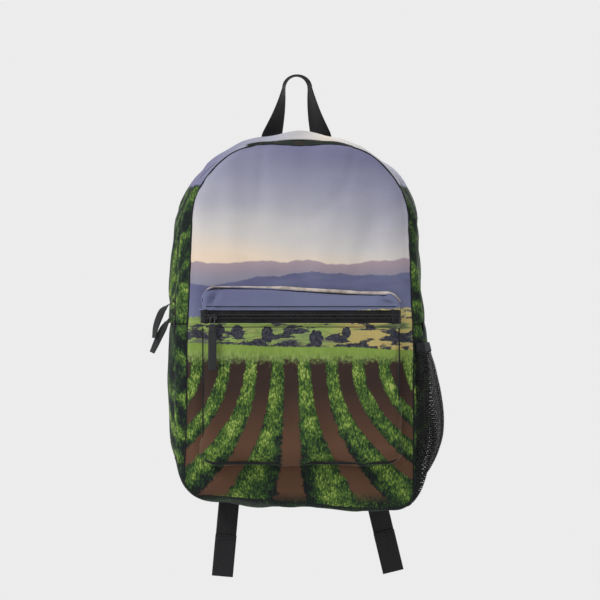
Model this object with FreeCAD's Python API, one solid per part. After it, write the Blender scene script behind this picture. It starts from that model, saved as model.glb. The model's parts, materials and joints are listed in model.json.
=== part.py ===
"""School backpack with a zipped main compartment, front pocket and one side mesh pocket.

Millimetres. +Z is up, -Y is the bag's front and +Y its back, which lies against the wearer.
The origin is the inside top of the haul loop, where a peg carries the bag.
"""

import functools
import math
import os

import FreeCAD
import Part

V = FreeCAD.Vector

# Bag shell: outlines of the sewn body, from the back seam to the front seam
BAG_HEIGHT = 450.0
BAG_TOP = -70.0
BAG_BOTTOM = BAG_TOP - BAG_HEIGHT
FABRIC = 1.6  # printed fabric and its lining, sewn as one layer
BACK_Y = 0.0
FRONT_Y = -105.0
WAIST_Z = -330.0  # the sides are upright below here and draw in above it
ARCH_SHARE = 0.955  # the arch's half width over the waist's
# (y, half width, top, bottom, corner radius, crown radius, shoulder radius)
FRONT_SEAM = (FRONT_Y, 131.0, BAG_TOP - 23.0, BAG_BOTTOM + 18.0, 30.0, 245.0, 76.0)
BODY_SECTIONS = [
    (BACK_Y, 150.0, BAG_TOP - 2.0, BAG_BOTTOM + 2.0, 40.0, 181.0, 122.0),
    (-18.0, 154.0, BAG_TOP - 0.4, BAG_BOTTOM + 0.4, 44.0, 184.0, 126.0),
    (-35.0, 155.0, BAG_TOP, BAG_BOTTOM, 45.0, 185.0, 127.0),
    (-52.0, 153.0, BAG_TOP - 2.0, BAG_BOTTOM + 2.0, 44.0, 186.0, 124.0),
    (-66.0, 147.0, BAG_TOP - 8.0, BAG_BOTTOM + 7.0, 40.0, 188.0, 115.0),
    (-94.0, 147.0, BAG_TOP - 8.0, BAG_BOTTOM + 7.0, 40.0, 188.0, 115.0),
    FRONT_SEAM,
]
FRONT_SECTIONS = [
    FRONT_SEAM,
    (-111.0, 110.0, BAG_TOP - 44.0, BAG_BOTTOM + 40.0, 28.0, 215.0, 62.0),
    (-115.5, 82.0, BAG_TOP - 74.0, BAG_BOTTOM + 70.0, 26.0, 180.0, 47.0),
    (-117.5, 44.0, BAG_TOP - 122.0, BAG_BOTTOM + 114.0, 20.0, 110.0, 28.0),
]

# Heights of the seams and of the line where the unzipped flap folds forward
FOLD_Z = -247.0
FOLD_Y = -119.0
FOLD_GAP = 0.4
ZIP_END_Z = -298.0
BOTTOM_SEAM_Z = -464.0

# Main zip, round the gusset
ZIP_Y = -80.0
ZIP_SLOT = 8.0  # from the zip's middle to each strip's edge
TAPE_HALF = 14.0
TAPE = 0.8
COIL_WIDTH = 2.4
COIL_HEIGHT = 2.2
ZIP_GAP = 0.6  # from the zip's middle to each half
PIPING = 2.2

# Sliders and pulls
SLIDER_LENGTH = 11.0
SLIDER_WIDTH = 8.4
SLIDER_PLATE = 1.2
SLIDER_CLEAR = 0.4
SLIDERS = {"upper": -271.0, "lower": -285.0}
PULL_LEANS = {"upper": 50.0, "lower": 32.0}
BAIL_RADIUS = 3.0
BAIL_WIRE = 0.6
PULLER_LENGTH = 15.0
PULLER_WIDTH = 6.0
PULLER_PLATE = 1.2
PULLER_BAR = 1.2
RIBBON_WIDTH = 8.5
RIBBON_THICK = 2.0
# each ribbon's middle line: (distance from the pull's pivot, lift off the pull's own plane)
RIBBON_PATHS = {
    "upper": [(9.6, 0.0), (18.0, -1.0), (28.0, -6.0), (38.0, -13.0), (46.0, -21.0)],
    "lower": [(9.6, 0.0), (20.0, -0.5), (32.0, -2.0), (43.0, -4.0), (54.0, -6.0)],
    "pocket": [(9.6, 0.0), (22.0, 0.2), (35.0, 0.0), (48.0, -0.5), (60.0, -0.8)],
}

# Back panel and laptop sleeve
COVER = 1.8
FOAM = 9.0
LINING = 1.2
BACK_FACE_Y = BACK_Y + LINING + FOAM + COVER
SLEEVE = (128.0, 22.0, -500.0, -205.0, 2.4)  # half width, depth, bottom, top, wall
SLEEVE_BINDING = 12.0

# Front pocket: (y, half width, top, bottom, corner radius)
POCKET_SECTIONS = [
    (-104.0, 115.0, -254.0, -462.0, 16.0),
    (-124.0, 114.5, -260.0, -456.0, 16.0),
    (-134.0, 112.5, -277.0, -437.0, 14.0),
]
POCKET_Y = POCKET_SECTIONS[-1][0]
POCKET_ZIP_Z = -290.0
POCKET_SLOT_HALF = 109.5
POCKET_SLIDER_X = -103.5
POCKET_LEAN = 4.0
POCKET_TAPE_REACH = (10.0, 13.0)  # above and below the zip's middle
ZIP_TAB = (3.0, 1.4, 16.0)

# Side mesh pocket, on +X only: (z, bulge past the bag's side)
MESH_SECTIONS = [(-322.0, 7.0), (-345.0, 11.0), (-385.0, 18.0), (-425.0, 21.0), (-465.0, 14.0), (-500.0, 3.0)]
MESH_FRONT = (138.0, -100.0)
MESH_BACK = (151.5, -5.0)
MESH_SIDE_X = 155.0
MESH = 1.2
MESH_BINDING = 10.0

# Webbing
WEB_WIDTH = 25.0
WEB = 1.5
LOOP_RADIUS = 15.0
LOOP_FOOT_X = 30.0
LOOP_HINGE = (13.0, -68.0)  # y, z
LOOP_TAIL_Z = -100.0
LOOP_TWIST_STEPS = 6
LOOP_CROWN_STEPS = 8
YOKE = (140.0, 1.2, 18.0)  # covers the strap tops and the haul loop's feet

# Shoulder straps: centreline seen from behind, (distance from the middle, z, half width)
STRAP_PLAN = [(46.0, -94.0, 26.0), (62.0, -160.0, 31.0), (76.0, -240.0, 30.0), (78.0, -320.0, 27.0),
              (73.0, -392.0, 15.0)]
STRAP_PROFILE = [(21.0, -94.0), (30.0, -150.0), (38.0, -220.0), (40.0, -290.0), (35.0, -350.0),
                 (28.0, -392.0)]  # y, z of its middle, seen from the side
STRAP_THICK = 10.0
STRAP_HINGE = (16.0, -92.0)

# Ladder locks
LOCK_X = 71.0
LOCK_Y = 29.0
LOCK_TOP_Z = -402.0
LOCK_BAR = 2.0  # bar radius
LOCK_MIDDLE = 14.0  # from the top bar down to the middle bar
LOCK_LOW = 26.0
LOCK_RAIL = 3.0
LOCK_LEANS = {"left": -5.2, "right": 13.5}  # degrees from plumb; the foot leans outwards
WEB_CLEAR = LOCK_BAR + 0.3  # from a bar's middle to the webbing round it
END_LOOP = 14.0
TAIL_LENGTH = 206.0
HEM = 51.0

# Corner tabs that hold the lower webbing
TAB_X = 116.0
TAB_Z = -492.0
TAB_CORNERS = [(18.0, -14.0), (24.0, 16.0), (-10.0, 12.0), (-16.0, -14.0)]
TAB_THICK = 1.2

SIDES = {"left": -1.0, "right": 1.0}
BIG = 900.0


def arch_wire(y, half, top, bottom, corner, crown, shoulder, inset=0.0):
    """Closed outline at y: flat foot, rounded corners, straight sides and a three-centred arch."""
    arch_half = ARCH_SHARE * half - inset
    crown, shoulder, corner = crown - inset, shoulder - inset, corner - inset
    half, top, bottom = half - inset, top - inset, bottom + inset
    lean = math.asin((arch_half - shoulder) / (crown - shoulder))
    spring = top - crown + (crown - shoulder) * math.cos(lean)
    join = V(crown * math.sin(lean), y, top - crown + crown * math.cos(lean))
    middle = (math.pi / 2 - lean) / 2
    knee = V(arch_half - shoulder + shoulder * math.cos(middle), y, spring + shoulder * math.sin(middle))
    elbow = corner * (1 - math.sqrt(0.5))

    def left(p):
        return V(-p.x, p.y, p.z)

    foot, heel = V(half - corner, y, bottom), V(half, y, bottom + corner)
    bend, waist, side = V(half - elbow, y, bottom + elbow), V(half, y, WAIST_Z), V(arch_half, y, spring)
    edges = [
        Part.LineSegment(left(foot), foot),
        Part.Arc(foot, bend, heel),
        Part.LineSegment(heel, waist),
        Part.LineSegment(waist, side),
        Part.Arc(side, knee, join),
        Part.Arc(join, V(0, y, top), left(join)),
        Part.Arc(left(join), left(knee), left(side)),
        Part.LineSegment(left(side), left(waist)),
        Part.LineSegment(left(waist), left(heel)),
        Part.Arc(left(heel), left(bend), left(foot)),
    ]
    return Part.Wire([e.toShape() for e in edges])


def rounded_wire(y, half, top, bottom, corner, inset=0.0):
    """Closed rectangular outline at y with four round corners."""
    half, top, bottom, corner = half - inset, top - inset, bottom + inset, corner - inset
    cut = corner * (1 - math.sqrt(0.5))
    edges = []
    for turn, (sx, z) in enumerate(((1, bottom), (1, top), (-1, top), (-1, bottom))):
        sz = 1 if z == bottom else -1
        on_flat = V(sx * (half - corner), y, z)
        on_side = V(sx * half, y, z + sz * corner)
        bend = V(sx * (half - cut), y, z + sz * cut)
        first, last = (on_flat, on_side) if turn % 2 == 0 else (on_side, on_flat)
        edges.append((first, bend, last))
    shapes = []
    for i, (first, bend, last) in enumerate(edges):
        shapes.append(Part.Arc(first, bend, last).toShape())
        shapes.append(Part.LineSegment(last, edges[(i + 1) % 4][0]).toShape())
    return Part.Wire(shapes)


def loft(wires, ruled=False):
    return Part.makeLoft(wires, True, ruled)


@functools.lru_cache(maxsize=None)
def body_solid(inset):
    """The volume inside the bag's sewn body, with its walls moved in by inset."""
    return loft([arch_wire(*s, inset=inset) for s in BODY_SECTIONS], ruled=True)


def slab(x=(-BIG, BIG), y=(-BIG, BIG), z=(-BIG, BIG)):
    corner = V(x[0], y[0], z[0])
    return Part.makeBox(x[1] - x[0], y[1] - y[0], z[1] - z[0], corner)


def band(y, outside, inside, z=(-BIG, BIG), x=(-BIG, BIG)):
    """A layer of the bag's wall between two insets, over a range of y, z and x."""
    cutter = slab(x, y, z)
    return body_solid(outside).common(cutter).cut(body_solid(inside))


def front_shell():
    """The crowned front panel, seam to seam."""
    cap = loft([arch_wire(*s) for s in FRONT_SECTIONS])
    return cap.cut(cap.translated(V(0, FABRIC, 0)))


def pocket_solid(inset):
    return loft([rounded_wire(s[0] + inset, *s[1:], inset=inset) for s in POCKET_SECTIONS])


def left_wall(y, z):
    """The point of the bag's left side at y and z."""
    ray = Part.makeLine(V(-BIG, y, z), V(0, y, z))
    return V(ray.common(body_solid(0.0)).BoundBox.XMin, y, z)


def side_frame(y, z):
    """A point on the left side, with its outward normal and the direction down the wall."""
    down = (left_wall(y, z - 20) - left_wall(y, z)).normalize()
    back = (left_wall(y + 2, z) - left_wall(y - 2, z)).normalize()
    return left_wall(y, z), back.cross(down).normalize(), down


def placed(shape, origin, x_axis, y_axis, z_axis):
    """shape, made in a frame of its own, moved to origin with its axes along the three given."""
    m = FreeCAD.Matrix(x_axis.x, y_axis.x, z_axis.x, origin.x,
                       x_axis.y, y_axis.y, z_axis.y, origin.y,
                       x_axis.z, y_axis.z, z_axis.z, origin.z, 0, 0, 0, 1)
    return shape.transformGeometry(m)


def box(size, centre):
    corner = V(*centre) - V(*size) * 0.5
    return Part.makeBox(size[0], size[1], size[2], corner)


def rod(radius, start, end):
    return Part.makeCylinder(radius, (end - start).Length, start, end - start)


def smooth_face(points, closing, normal_extrude):
    """A face between a smooth line through points and a second one back, extruded."""
    ahead, back = Part.BSplineCurve(), Part.BSplineCurve()
    ahead.interpolate(points)
    back.interpolate(closing)
    edges = [ahead.toShape(), Part.makeLine(points[-1], closing[0]), back.toShape(),
             Part.makeLine(closing[-1], points[0])]
    return Part.Face(Part.Wire(edges)).extrude(normal_extrude)


# Sliders, pulls and zips


def slider(bail_axis):
    """Zip slider in its own frame: x along the zip, y across it, z off the fabric.

    z is 0 at the coil's crest. Two plates are joined by a thin bridge between the coil's halves.
    """
    outer_z = SLIDER_CLEAR
    inner_z = -COIL_HEIGHT - TAPE - SLIDER_CLEAR - SLIDER_PLATE
    plate = Part.makeBox(SLIDER_LENGTH, SLIDER_WIDTH, SLIDER_PLATE,
                         V(-SLIDER_LENGTH / 2, -SLIDER_WIDTH / 2, outer_z))
    outer = plate.makeFillet(1.6, upright_edges(plate))
    inner = outer.translated(V(0, 0, inner_z - outer_z))
    bridge = Part.makeBox(4, 0.6, outer_z - inner_z, V(-SLIDER_LENGTH / 2 + 1, -0.3, inner_z + 0.5))
    top = outer_z + SLIDER_PLATE
    arch = Part.makeTorus(BAIL_RADIUS, BAIL_WIRE, V(0, 0, top), bail_axis)
    bail = arch.common(slab(z=(top - 0.3, BIG)))
    return outer.fuse([inner, bridge, bail]).removeSplitter()


def upright_edges(shape):
    return [e for e in shape.Edges if abs(e.tangentAt(e.FirstParameter).z) > 0.9]


def bail_height():
    """Height of a puller's pivot above the coil's crest."""
    return SLIDER_CLEAR + SLIDER_PLATE + 0.4 * BAIL_RADIUS


def puller():
    """Metal tab in its own frame: its bar turns about y at the origin and it hangs along +x."""
    plate = box((PULLER_LENGTH, PULLER_WIDTH, PULLER_PLATE), ((PULLER_LENGTH - PULLER_BAR) / 2, 0, 0))
    plate = plate.makeFillet(1.0, upright_edges(plate))
    eye = box((4.4, 2.4, 4), (PULLER_BAR / 2 + 2.2, 0, 0))
    slot = box((2.2, 4.0, 4), (PULLER_LENGTH - 4.0, 0, 0))
    return plate.cut(eye).cut(slot)


def ribbon(points):
    """Folded tape sewn round a puller: a strip curved in its own x-z plane through points."""
    half = RIBBON_THICK / 2
    upper, lower = [], []
    for i, (x, z) in enumerate(points):
        a, b = points[max(i - 1, 0)], points[min(i + 1, len(points) - 1)]
        run = math.hypot(b[0] - a[0], b[1] - a[1])
        off = V(-(b[1] - a[1]) / run * half, 0, (b[0] - a[0]) / run * half)
        middle = V(x, -RIBBON_WIDTH / 2, z)
        upper.append(middle + off)
        lower.append(middle - off)
    return smooth_face(upper, lower[::-1], V(0, RIBBON_WIDTH, 0)).cut(puller())


def main_zip_frame(z):
    """Origin and axes of a slider on the left side: x down the zip, z off the fabric."""
    point, normal, down = side_frame(ZIP_Y, z)
    return point + normal * (COIL_HEIGHT - FABRIC), down, normal.cross(down), normal


def pocket_zip_frame():
    """Origin and axes of the pocket slider: x along the zip, z towards the front."""
    crest = V(POCKET_SLIDER_X, POCKET_Y - COIL_HEIGHT + FABRIC, POCKET_ZIP_Z)
    return crest, V(1, 0, 0), V(0, 0, 1), V(0, -1, 0)


def leaning(down, out, degrees):
    """The directions along a pull and off its face, for a pull that leans off the fabric."""
    turn = math.radians(degrees)
    return (down * math.cos(turn) + out * math.sin(turn),
            out * math.cos(turn) - down * math.sin(turn))


def main_pull_frame(z, lean):
    """Pivot and axes of a pull that hangs lean degrees off the bag's side."""
    origin, down, across, out = main_zip_frame(z)
    along, off = leaning(down, out, lean)
    return origin + out * bail_height(), along, across, off


def pocket_pull_frame():
    """Pivot and axes of the pocket's pull, which hangs down across its zip."""
    origin, right, up, out = pocket_zip_frame()
    along, off = leaning(up * -1, out, POCKET_LEAN)
    return origin + out * bail_height(), along, right * -1, off


def main_zip(parts):
    mid_in, mid_out = ZIP_Y + ZIP_GAP, ZIP_Y - ZIP_GAP
    rear = (mid_in, ZIP_Y + TAPE_HALF)
    front = (ZIP_Y - TAPE_HALF, mid_out)
    above, below = (FOLD_Z + FOLD_GAP, BIG), (ZIP_END_Z, FOLD_Z - FOLD_GAP)
    tape_in, tape_out = FABRIC + 0.1 + TAPE, FABRIC + 0.1
    parts["zip_tape_rear"] = band(rear, tape_out, tape_in, (ZIP_END_Z, BIG))
    parts["zip_tape_flap"] = band(front, tape_out, tape_in, above)
    parts["zip_tape_front_ends"] = band(front, tape_out, tape_in, below)
    rear_coil = (mid_in, mid_in + COIL_WIDTH)
    front_coil = (mid_out - COIL_WIDTH, mid_out)
    crest = FABRIC - COIL_HEIGHT
    parts["zip_coil_rear"] = band(rear_coil, crest, FABRIC, (ZIP_END_Z, BIG))
    parts["zip_coil_flap"] = band(front_coil, crest, FABRIC, above)
    parts["zip_coil_front_ends"] = band(front_coil, crest, FABRIC, below)
    tab_y = (ZIP_Y - ZIP_SLOT - 4, ZIP_Y + ZIP_SLOT + 4)
    parts["zip_end_tabs"] = band(tab_y, -1.5, -0.7, (ZIP_END_Z - 8, ZIP_END_Z - 0.5))
    for name, z in SLIDERS.items():
        parts[f"main_slider_{name}"] = placed(slider(V(0, 1, 0)), *main_zip_frame(z))
        frame = main_pull_frame(z, PULL_LEANS[name])
        parts[f"main_puller_{name}"] = placed(puller(), *frame)
        parts[f"main_ribbon_{name}"] = placed(ribbon(RIBBON_PATHS[name]), *frame)


def pocket_zip(parts):
    """Tapes, coil halves, end tabs, slider and pull of the front pocket's straight zip."""
    layer = pocket_solid(FABRIC + 0.1).cut(pocket_solid(FABRIC + 0.1 + TAPE))
    half = POCKET_SLOT_HALF + 1.0
    front = (-BIG, POCKET_Y + 8)
    above, below = POCKET_TAPE_REACH
    upper = slab((-half, half), front, (POCKET_ZIP_Z + ZIP_GAP, POCKET_ZIP_Z + above))
    lower = slab((-half, half), front, (POCKET_ZIP_Z - below, POCKET_ZIP_Z - ZIP_GAP))
    parts["pocket_tape_upper"] = layer.common(upper)
    parts["pocket_tape_lower"] = layer.common(lower)
    crest_y, base_y = POCKET_Y - COIL_HEIGHT + FABRIC, POCKET_Y + FABRIC
    for name, low in (("upper", ZIP_GAP), ("lower", -ZIP_GAP - COIL_WIDTH)):
        parts[f"pocket_coil_{name}"] = slab((-POCKET_SLOT_HALF, POCKET_SLOT_HALF), (crest_y, base_y),
                                            (POCKET_ZIP_Z + low, POCKET_ZIP_Z + low + COIL_WIDTH))
    tab_x = POCKET_SLOT_HALF + ZIP_TAB[0] / 2
    tab_y = POCKET_Y - ZIP_TAB[1] / 2 - 0.1
    tabs = [box(ZIP_TAB, (side * tab_x, tab_y, POCKET_ZIP_Z)) for side in (-1, 1)]
    parts["pocket_zip_tabs"] = Part.makeCompound(tabs)
    parts["pocket_slider"] = placed(slider(V(1, 0, 0)), *pocket_zip_frame())
    frame = pocket_pull_frame()
    parts["pocket_puller"] = placed(puller(), *frame)
    parts["pocket_ribbon"] = placed(ribbon(RIBBON_PATHS["pocket"]), *frame)


# The bag


def shell(parts):
    """The sewn panels of the body and the flap."""
    whole = (FRONT_Y, BACK_Y)
    front_strip = (FRONT_Y, ZIP_Y - ZIP_SLOT)
    rear_strip = (ZIP_Y + ZIP_SLOT, BACK_Y)
    parts["rear_gusset"] = band(rear_strip, 0.0, FABRIC, (ZIP_END_Z, BIG))
    parts["flap_gusset"] = band(front_strip, 0.0, FABRIC, (FOLD_Z + FOLD_GAP, BIG))
    for side, sign in SIDES.items():
        x = (0, BIG) if sign > 0 else (-BIG, 0)
        parts[f"front_gusset_{side}"] = band(front_strip, 0.0, FABRIC, (ZIP_END_Z, FOLD_Z - FOLD_GAP), x)
        parts[f"side_panel_{side}"] = band(whole, 0.0, FABRIC, (BOTTOM_SEAM_Z, ZIP_END_Z), x)
    parts["bottom_panel"] = band(whole, 0.0, FABRIC, (-BIG, BOTTOM_SEAM_Z))
    front = front_shell()
    parts["flap_panel"] = front.common(slab(z=(FOLD_Z + FOLD_GAP, BIG)))
    parts["front_panel"] = front.common(slab(z=(-BIG, FOLD_Z - FOLD_GAP)))
    seam = (FRONT_Y + 0.1, FRONT_Y + 3.1)
    parts["flap_piping"] = band(seam, -PIPING, -0.1, (FOLD_Z + FOLD_GAP, BIG))
    parts["front_piping"] = band(seam, -PIPING, -0.1, (-BIG, FOLD_Z - FOLD_GAP))
    parts["back_piping"] = band((BACK_Y - 3, BACK_Y), -PIPING, -0.1)


def back(parts):
    """Padded back panel in three layers, and the laptop sleeve inside it."""
    outline = Part.Face(arch_wire(*BODY_SECTIONS[0]))
    layers = {"back_lining": (0.0, LINING), "back_foam": (LINING, FOAM), "back_cover": (LINING + FOAM, COVER)}
    for name, (start, thick) in layers.items():
        parts[name] = outline.translated(V(0, start, 0)).extrude(V(0, thick, 0))
    half, depth, low, high, wall = SLEEVE
    outside = slab((-half, half), (-depth, -0.2), (low, high))
    inside = slab((-half + wall, half - wall), (-depth + wall, BIG), (low + wall, BIG))
    parts["laptop_sleeve"] = outside.cut(inside)
    binding = slab((-half, half), (-depth - 1.2, -depth + wall + 1.2), (high - SLEEVE_BINDING, high + 1.2))
    parts["sleeve_binding"] = binding.cut(outside)


def pocket(parts):
    """The front pocket's two fabric pieces, above and below its zip."""
    cap = loft([arch_wire(*s) for s in FRONT_SECTIONS])
    walls = pocket_solid(0.0).cut(pocket_solid(FABRIC)).cut(cap).common(slab(y=(-BIG, FRONT_Y - 1)))
    slot = slab((-POCKET_SLOT_HALF, POCKET_SLOT_HALF), (-BIG, POCKET_Y + 8),
                (POCKET_ZIP_Z - ZIP_SLOT, POCKET_ZIP_Z + ZIP_SLOT))
    walls = walls.cut(slot)
    parts["pocket_top"] = walls.common(slab(z=(POCKET_ZIP_Z, BIG)))
    parts["pocket_face"] = walls.common(slab(z=(-BIG, POCKET_ZIP_Z)))


def mesh_outline(z, bulge, inset):
    start, end = V(MESH_FRONT[0], MESH_FRONT[1] + inset, z), V(MESH_BACK[0], MESH_BACK[1] - inset, z)
    crown = V(MESH_SIDE_X + bulge - inset, (start.y + end.y) / 2 + 6, z)
    root = [V(120, end.y, z), V(120, start.y, z)]
    edges = [Part.Arc(start, crown, end).toShape(), Part.makeLine(end, root[0]),
             Part.makeLine(root[0], root[1]), Part.makeLine(root[1], start)]
    return Part.Wire(edges)


def mesh_pocket(parts):
    """Bulging side pocket, open at its top, with an elastic binding on the mouth."""
    outer = loft([mesh_outline(z, bulge, 0.0) for z, bulge in MESH_SECTIONS])
    inner = loft([mesh_outline(z, bulge, MESH) for z, bulge in MESH_SECTIONS])
    bag = body_solid(-0.2)
    net = outer.cut(inner).cut(bag)
    mouth = MESH_SECTIONS[0][0]
    parts["mesh_pocket"] = net.common(slab(z=(-BIG, mouth - MESH_BINDING)))
    rim = outer.common(slab(z=(mouth - MESH_BINDING, mouth)))
    rim = rim.fuse(rim.translated(V(1.2, 0, 0)))
    parts["mesh_binding"] = rim.cut(inner).cut(bag)


# Webbing and straps


def strip_section(centre, width_axis, thick_axis, thick=WEB):
    w, t = width_axis * (WEB_WIDTH / 2), thick_axis * (thick / 2)
    corners = [centre - w - t, centre + w - t, centre + w + t, centre - w + t]
    return Part.makePolygon(corners + corners[:1])


def haul_loop(parts):
    """Loop of webbing, flat to the bag at its feet and turned edge-on over the peg."""
    hinge_y, hinge_z = LOOP_HINGE
    reach = LOOP_RADIUS + WEB / 2
    start = V(-LOOP_FOOT_X, hinge_y, hinge_z + 0.5)
    stop = V(-reach, 0, -LOOP_RADIUS - 6)
    sections = []
    for i in range(LOOP_TWIST_STEPS + 1):
        share = i / LOOP_TWIST_STEPS
        turn = math.radians(90 * share)
        along = (stop - start).normalize()
        side = along.cross(V(0, 1, 0)).normalize() if i else V(-1, 0, 0)
        width = side * math.cos(turn) + V(0, 1, 0) * math.sin(turn)
        sections.append((start + (stop - start) * share, width, along.cross(width).normalize()))
    crown = []
    for i in range(LOOP_CROWN_STEPS + 1):
        turn = math.pi - math.pi * i / LOOP_CROWN_STEPS
        out = V(math.cos(turn), 0, math.sin(turn))
        crown.append((V(0, 0, -LOOP_RADIUS) + out * reach, V(0, 1, 0), out * -1))
    mirrored = [(V(-c.x, c.y, c.z), V(w.x, -w.y, -w.z) * -1, V(-t.x, t.y, t.z)) for c, w, t in sections]
    path = sections + crown + mirrored[::-1]
    solids = [loft([strip_section(*path[i]), strip_section(*path[i + 1])], True) for i in range(len(path) - 1)]
    parts["haul_loop"] = solids[0].fuse(solids[1:]).removeSplitter()
    feet = [box((WEB_WIDTH, WEB, hinge_z - 0.6 - LOOP_TAIL_Z),
                (sign * LOOP_FOOT_X, hinge_y, (hinge_z - 0.6 + LOOP_TAIL_Z) / 2)) for sign in (-1, 1)]
    parts["haul_loop_feet"] = Part.makeCompound(feet)


def strap(parts, side, sign):
    """Padded shoulder strap: a side profile and a plan outline, crossed."""
    half = STRAP_THICK / 2
    front = [V(-BIG / 4, y - half, z) for y, z in STRAP_PROFILE]
    rear = [V(-BIG / 4, y + half, z) for y, z in STRAP_PROFILE]
    profile = smooth_face(front, rear[::-1], V(BIG / 2, 0, 0))
    inner = [V(sign * (x - w), 0, z) for x, z, w in STRAP_PLAN]
    outer = [V(sign * (x + w), 0, z) for x, z, w in STRAP_PLAN]
    plan = smooth_face(inner, outer[::-1], V(0, BIG / 6, 0))
    parts[f"shoulder_strap_{side}"] = profile.common(plan)


def lock_axes(side):
    """Origin at the lock's top bar, with axes across, towards the bag's back, and up."""
    sign, lean = SIDES[side], math.radians(LOCK_LEANS[side])
    across = V(math.cos(lean), 0, math.sin(lean))
    up = V(-math.sin(lean), 0, math.cos(lean))
    return V(sign * LOCK_X, LOCK_Y, LOCK_TOP_Z), across, V(0, 1, 0), up


def ladder_lock():
    """Plastic three-bar buckle, hanging down from its top bar along -z."""
    half = WEB_WIDTH / 2 + 1.0
    bars = [rod(LOCK_BAR, V(-half - 1, 0, -drop), V(half + 1, 0, -drop))
            for drop in (0.0, LOCK_MIDDLE, LOCK_LOW)]
    rails = [box((LOCK_RAIL, 5.0, LOCK_LOW + 6), (sign * (half + LOCK_RAIL / 2), 0, -LOCK_LOW / 2))
             for sign in (-1, 1)]
    return bars[0].fuse(bars[1:] + rails).removeSplitter()


def web_turn(radius, centre_z, start, end):
    """A half turn of webbing about a bar, in the y-z plane."""
    ring = Part.makeCylinder(radius + WEB, WEB_WIDTH, V(-WEB_WIDTH / 2, 0, centre_z), V(1, 0, 0))
    hole = Part.makeCylinder(radius, WEB_WIDTH, V(-WEB_WIDTH / 2, 0, centre_z), V(1, 0, 0))
    return ring.cut(hole).common(slab(z=(start, end)))


def strap_end(parts, side):
    """The short sewn loop that ties a strap's end to its lock's top bar."""
    turn = web_turn(WEB_CLEAR, 0.0, -BIG, 0.0)
    legs = [box((WEB_WIDTH, WEB, END_LOOP), (0, sign * (WEB_CLEAR + WEB / 2), END_LOOP / 2)) for sign in (-1, 1)]
    loop = turn.fuse(legs).removeSplitter()
    parts[f"strap_end_loop_{side}"] = placed(loop, *lock_axes(side)).cut(parts[f"shoulder_strap_{side}"])


def tail(parts, side):
    """The adjuster's free end: over the lock's middle bar and down to its sewn hem."""
    turn = web_turn(WEB_CLEAR, -LOCK_MIDDLE, -LOCK_MIDDLE, BIG)
    front = box((WEB_WIDTH, WEB, 6.0), (0, -WEB_CLEAR - WEB / 2, -LOCK_MIDDLE - 3))
    drop = box((WEB_WIDTH, WEB, TAIL_LENGTH - LOCK_MIDDLE),
               (0, WEB_CLEAR + WEB / 2, -(TAIL_LENGTH + LOCK_MIDDLE) / 2))
    hem = box((WEB_WIDTH, WEB, HEM), (0, WEB_CLEAR - WEB / 2, -TAIL_LENGTH + HEM / 2))
    piece = turn.fuse([front, drop, hem]).removeSplitter()
    parts[f"strap_tail_{side}"] = placed(piece, *lock_axes(side))


def lower_web(parts, side, sign):
    """The adjuster's load side, from its corner tab up to the lock."""
    origin, _, _, up = lock_axes(side)
    top = origin + up * -(LOCK_MIDDLE + 7.5) + V(0, -WEB_CLEAR - WEB / 2, 0)
    foot = V(sign * TAB_X, BACK_FACE_Y + 2.6, TAB_Z)
    bottom = foot + V(0, 0, 4)
    run = (top - bottom).normalize()
    across = V(run.z, 0, -run.x).normalize()
    sections = [strip_section(at, across, run.cross(across).normalize())
                for at in (bottom, top - V(0, 1.5, 0))]
    parts[f"lower_web_{side}"] = loft(sections, True)
    corners = [V(sign * (TAB_X + x), BACK_FACE_Y + 0.3, TAB_Z + z) for x, z in TAB_CORNERS]
    tab = Part.Face(Part.makePolygon(corners + corners[:1]))
    parts[f"anchor_tab_{side}"] = tab.extrude(V(0, TAB_THICK, 0))


def harness(parts):
    """Everything behind the back panel."""
    haul_loop(parts)
    parts["strap_yoke"] = box(YOKE, (0, LOOP_HINGE[0] + WEB / 2 + 0.9, LOOP_TAIL_Z + 2))
    for side, sign in SIDES.items():
        strap(parts, side, sign)
        strap_end(parts, side)
        parts[f"ladder_lock_{side}"] = placed(ladder_lock(), *lock_axes(side))
        tail(parts, side)
        lower_web(parts, side, sign)


def main():
    parts = {}
    for make in (shell, main_zip, back, pocket, pocket_zip, mesh_pocket, harness):
        make(parts)
    os.makedirs("parts", exist_ok=True)
    for name, shape in parts.items():
        shape.exportStep(f"parts/{name}.step")
        print(f"{name}: {len(shape.Solids)} solids, {shape.Volume / 1000:.2f} cm3, valid {shape.isValid()}")


if __name__ == "__main__":
    main()
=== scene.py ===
import functools
import json
import math

import bmesh
import bpy
import numpy as np
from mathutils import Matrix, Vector, noise
from mathutils.bvhtree import BVHTree


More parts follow.
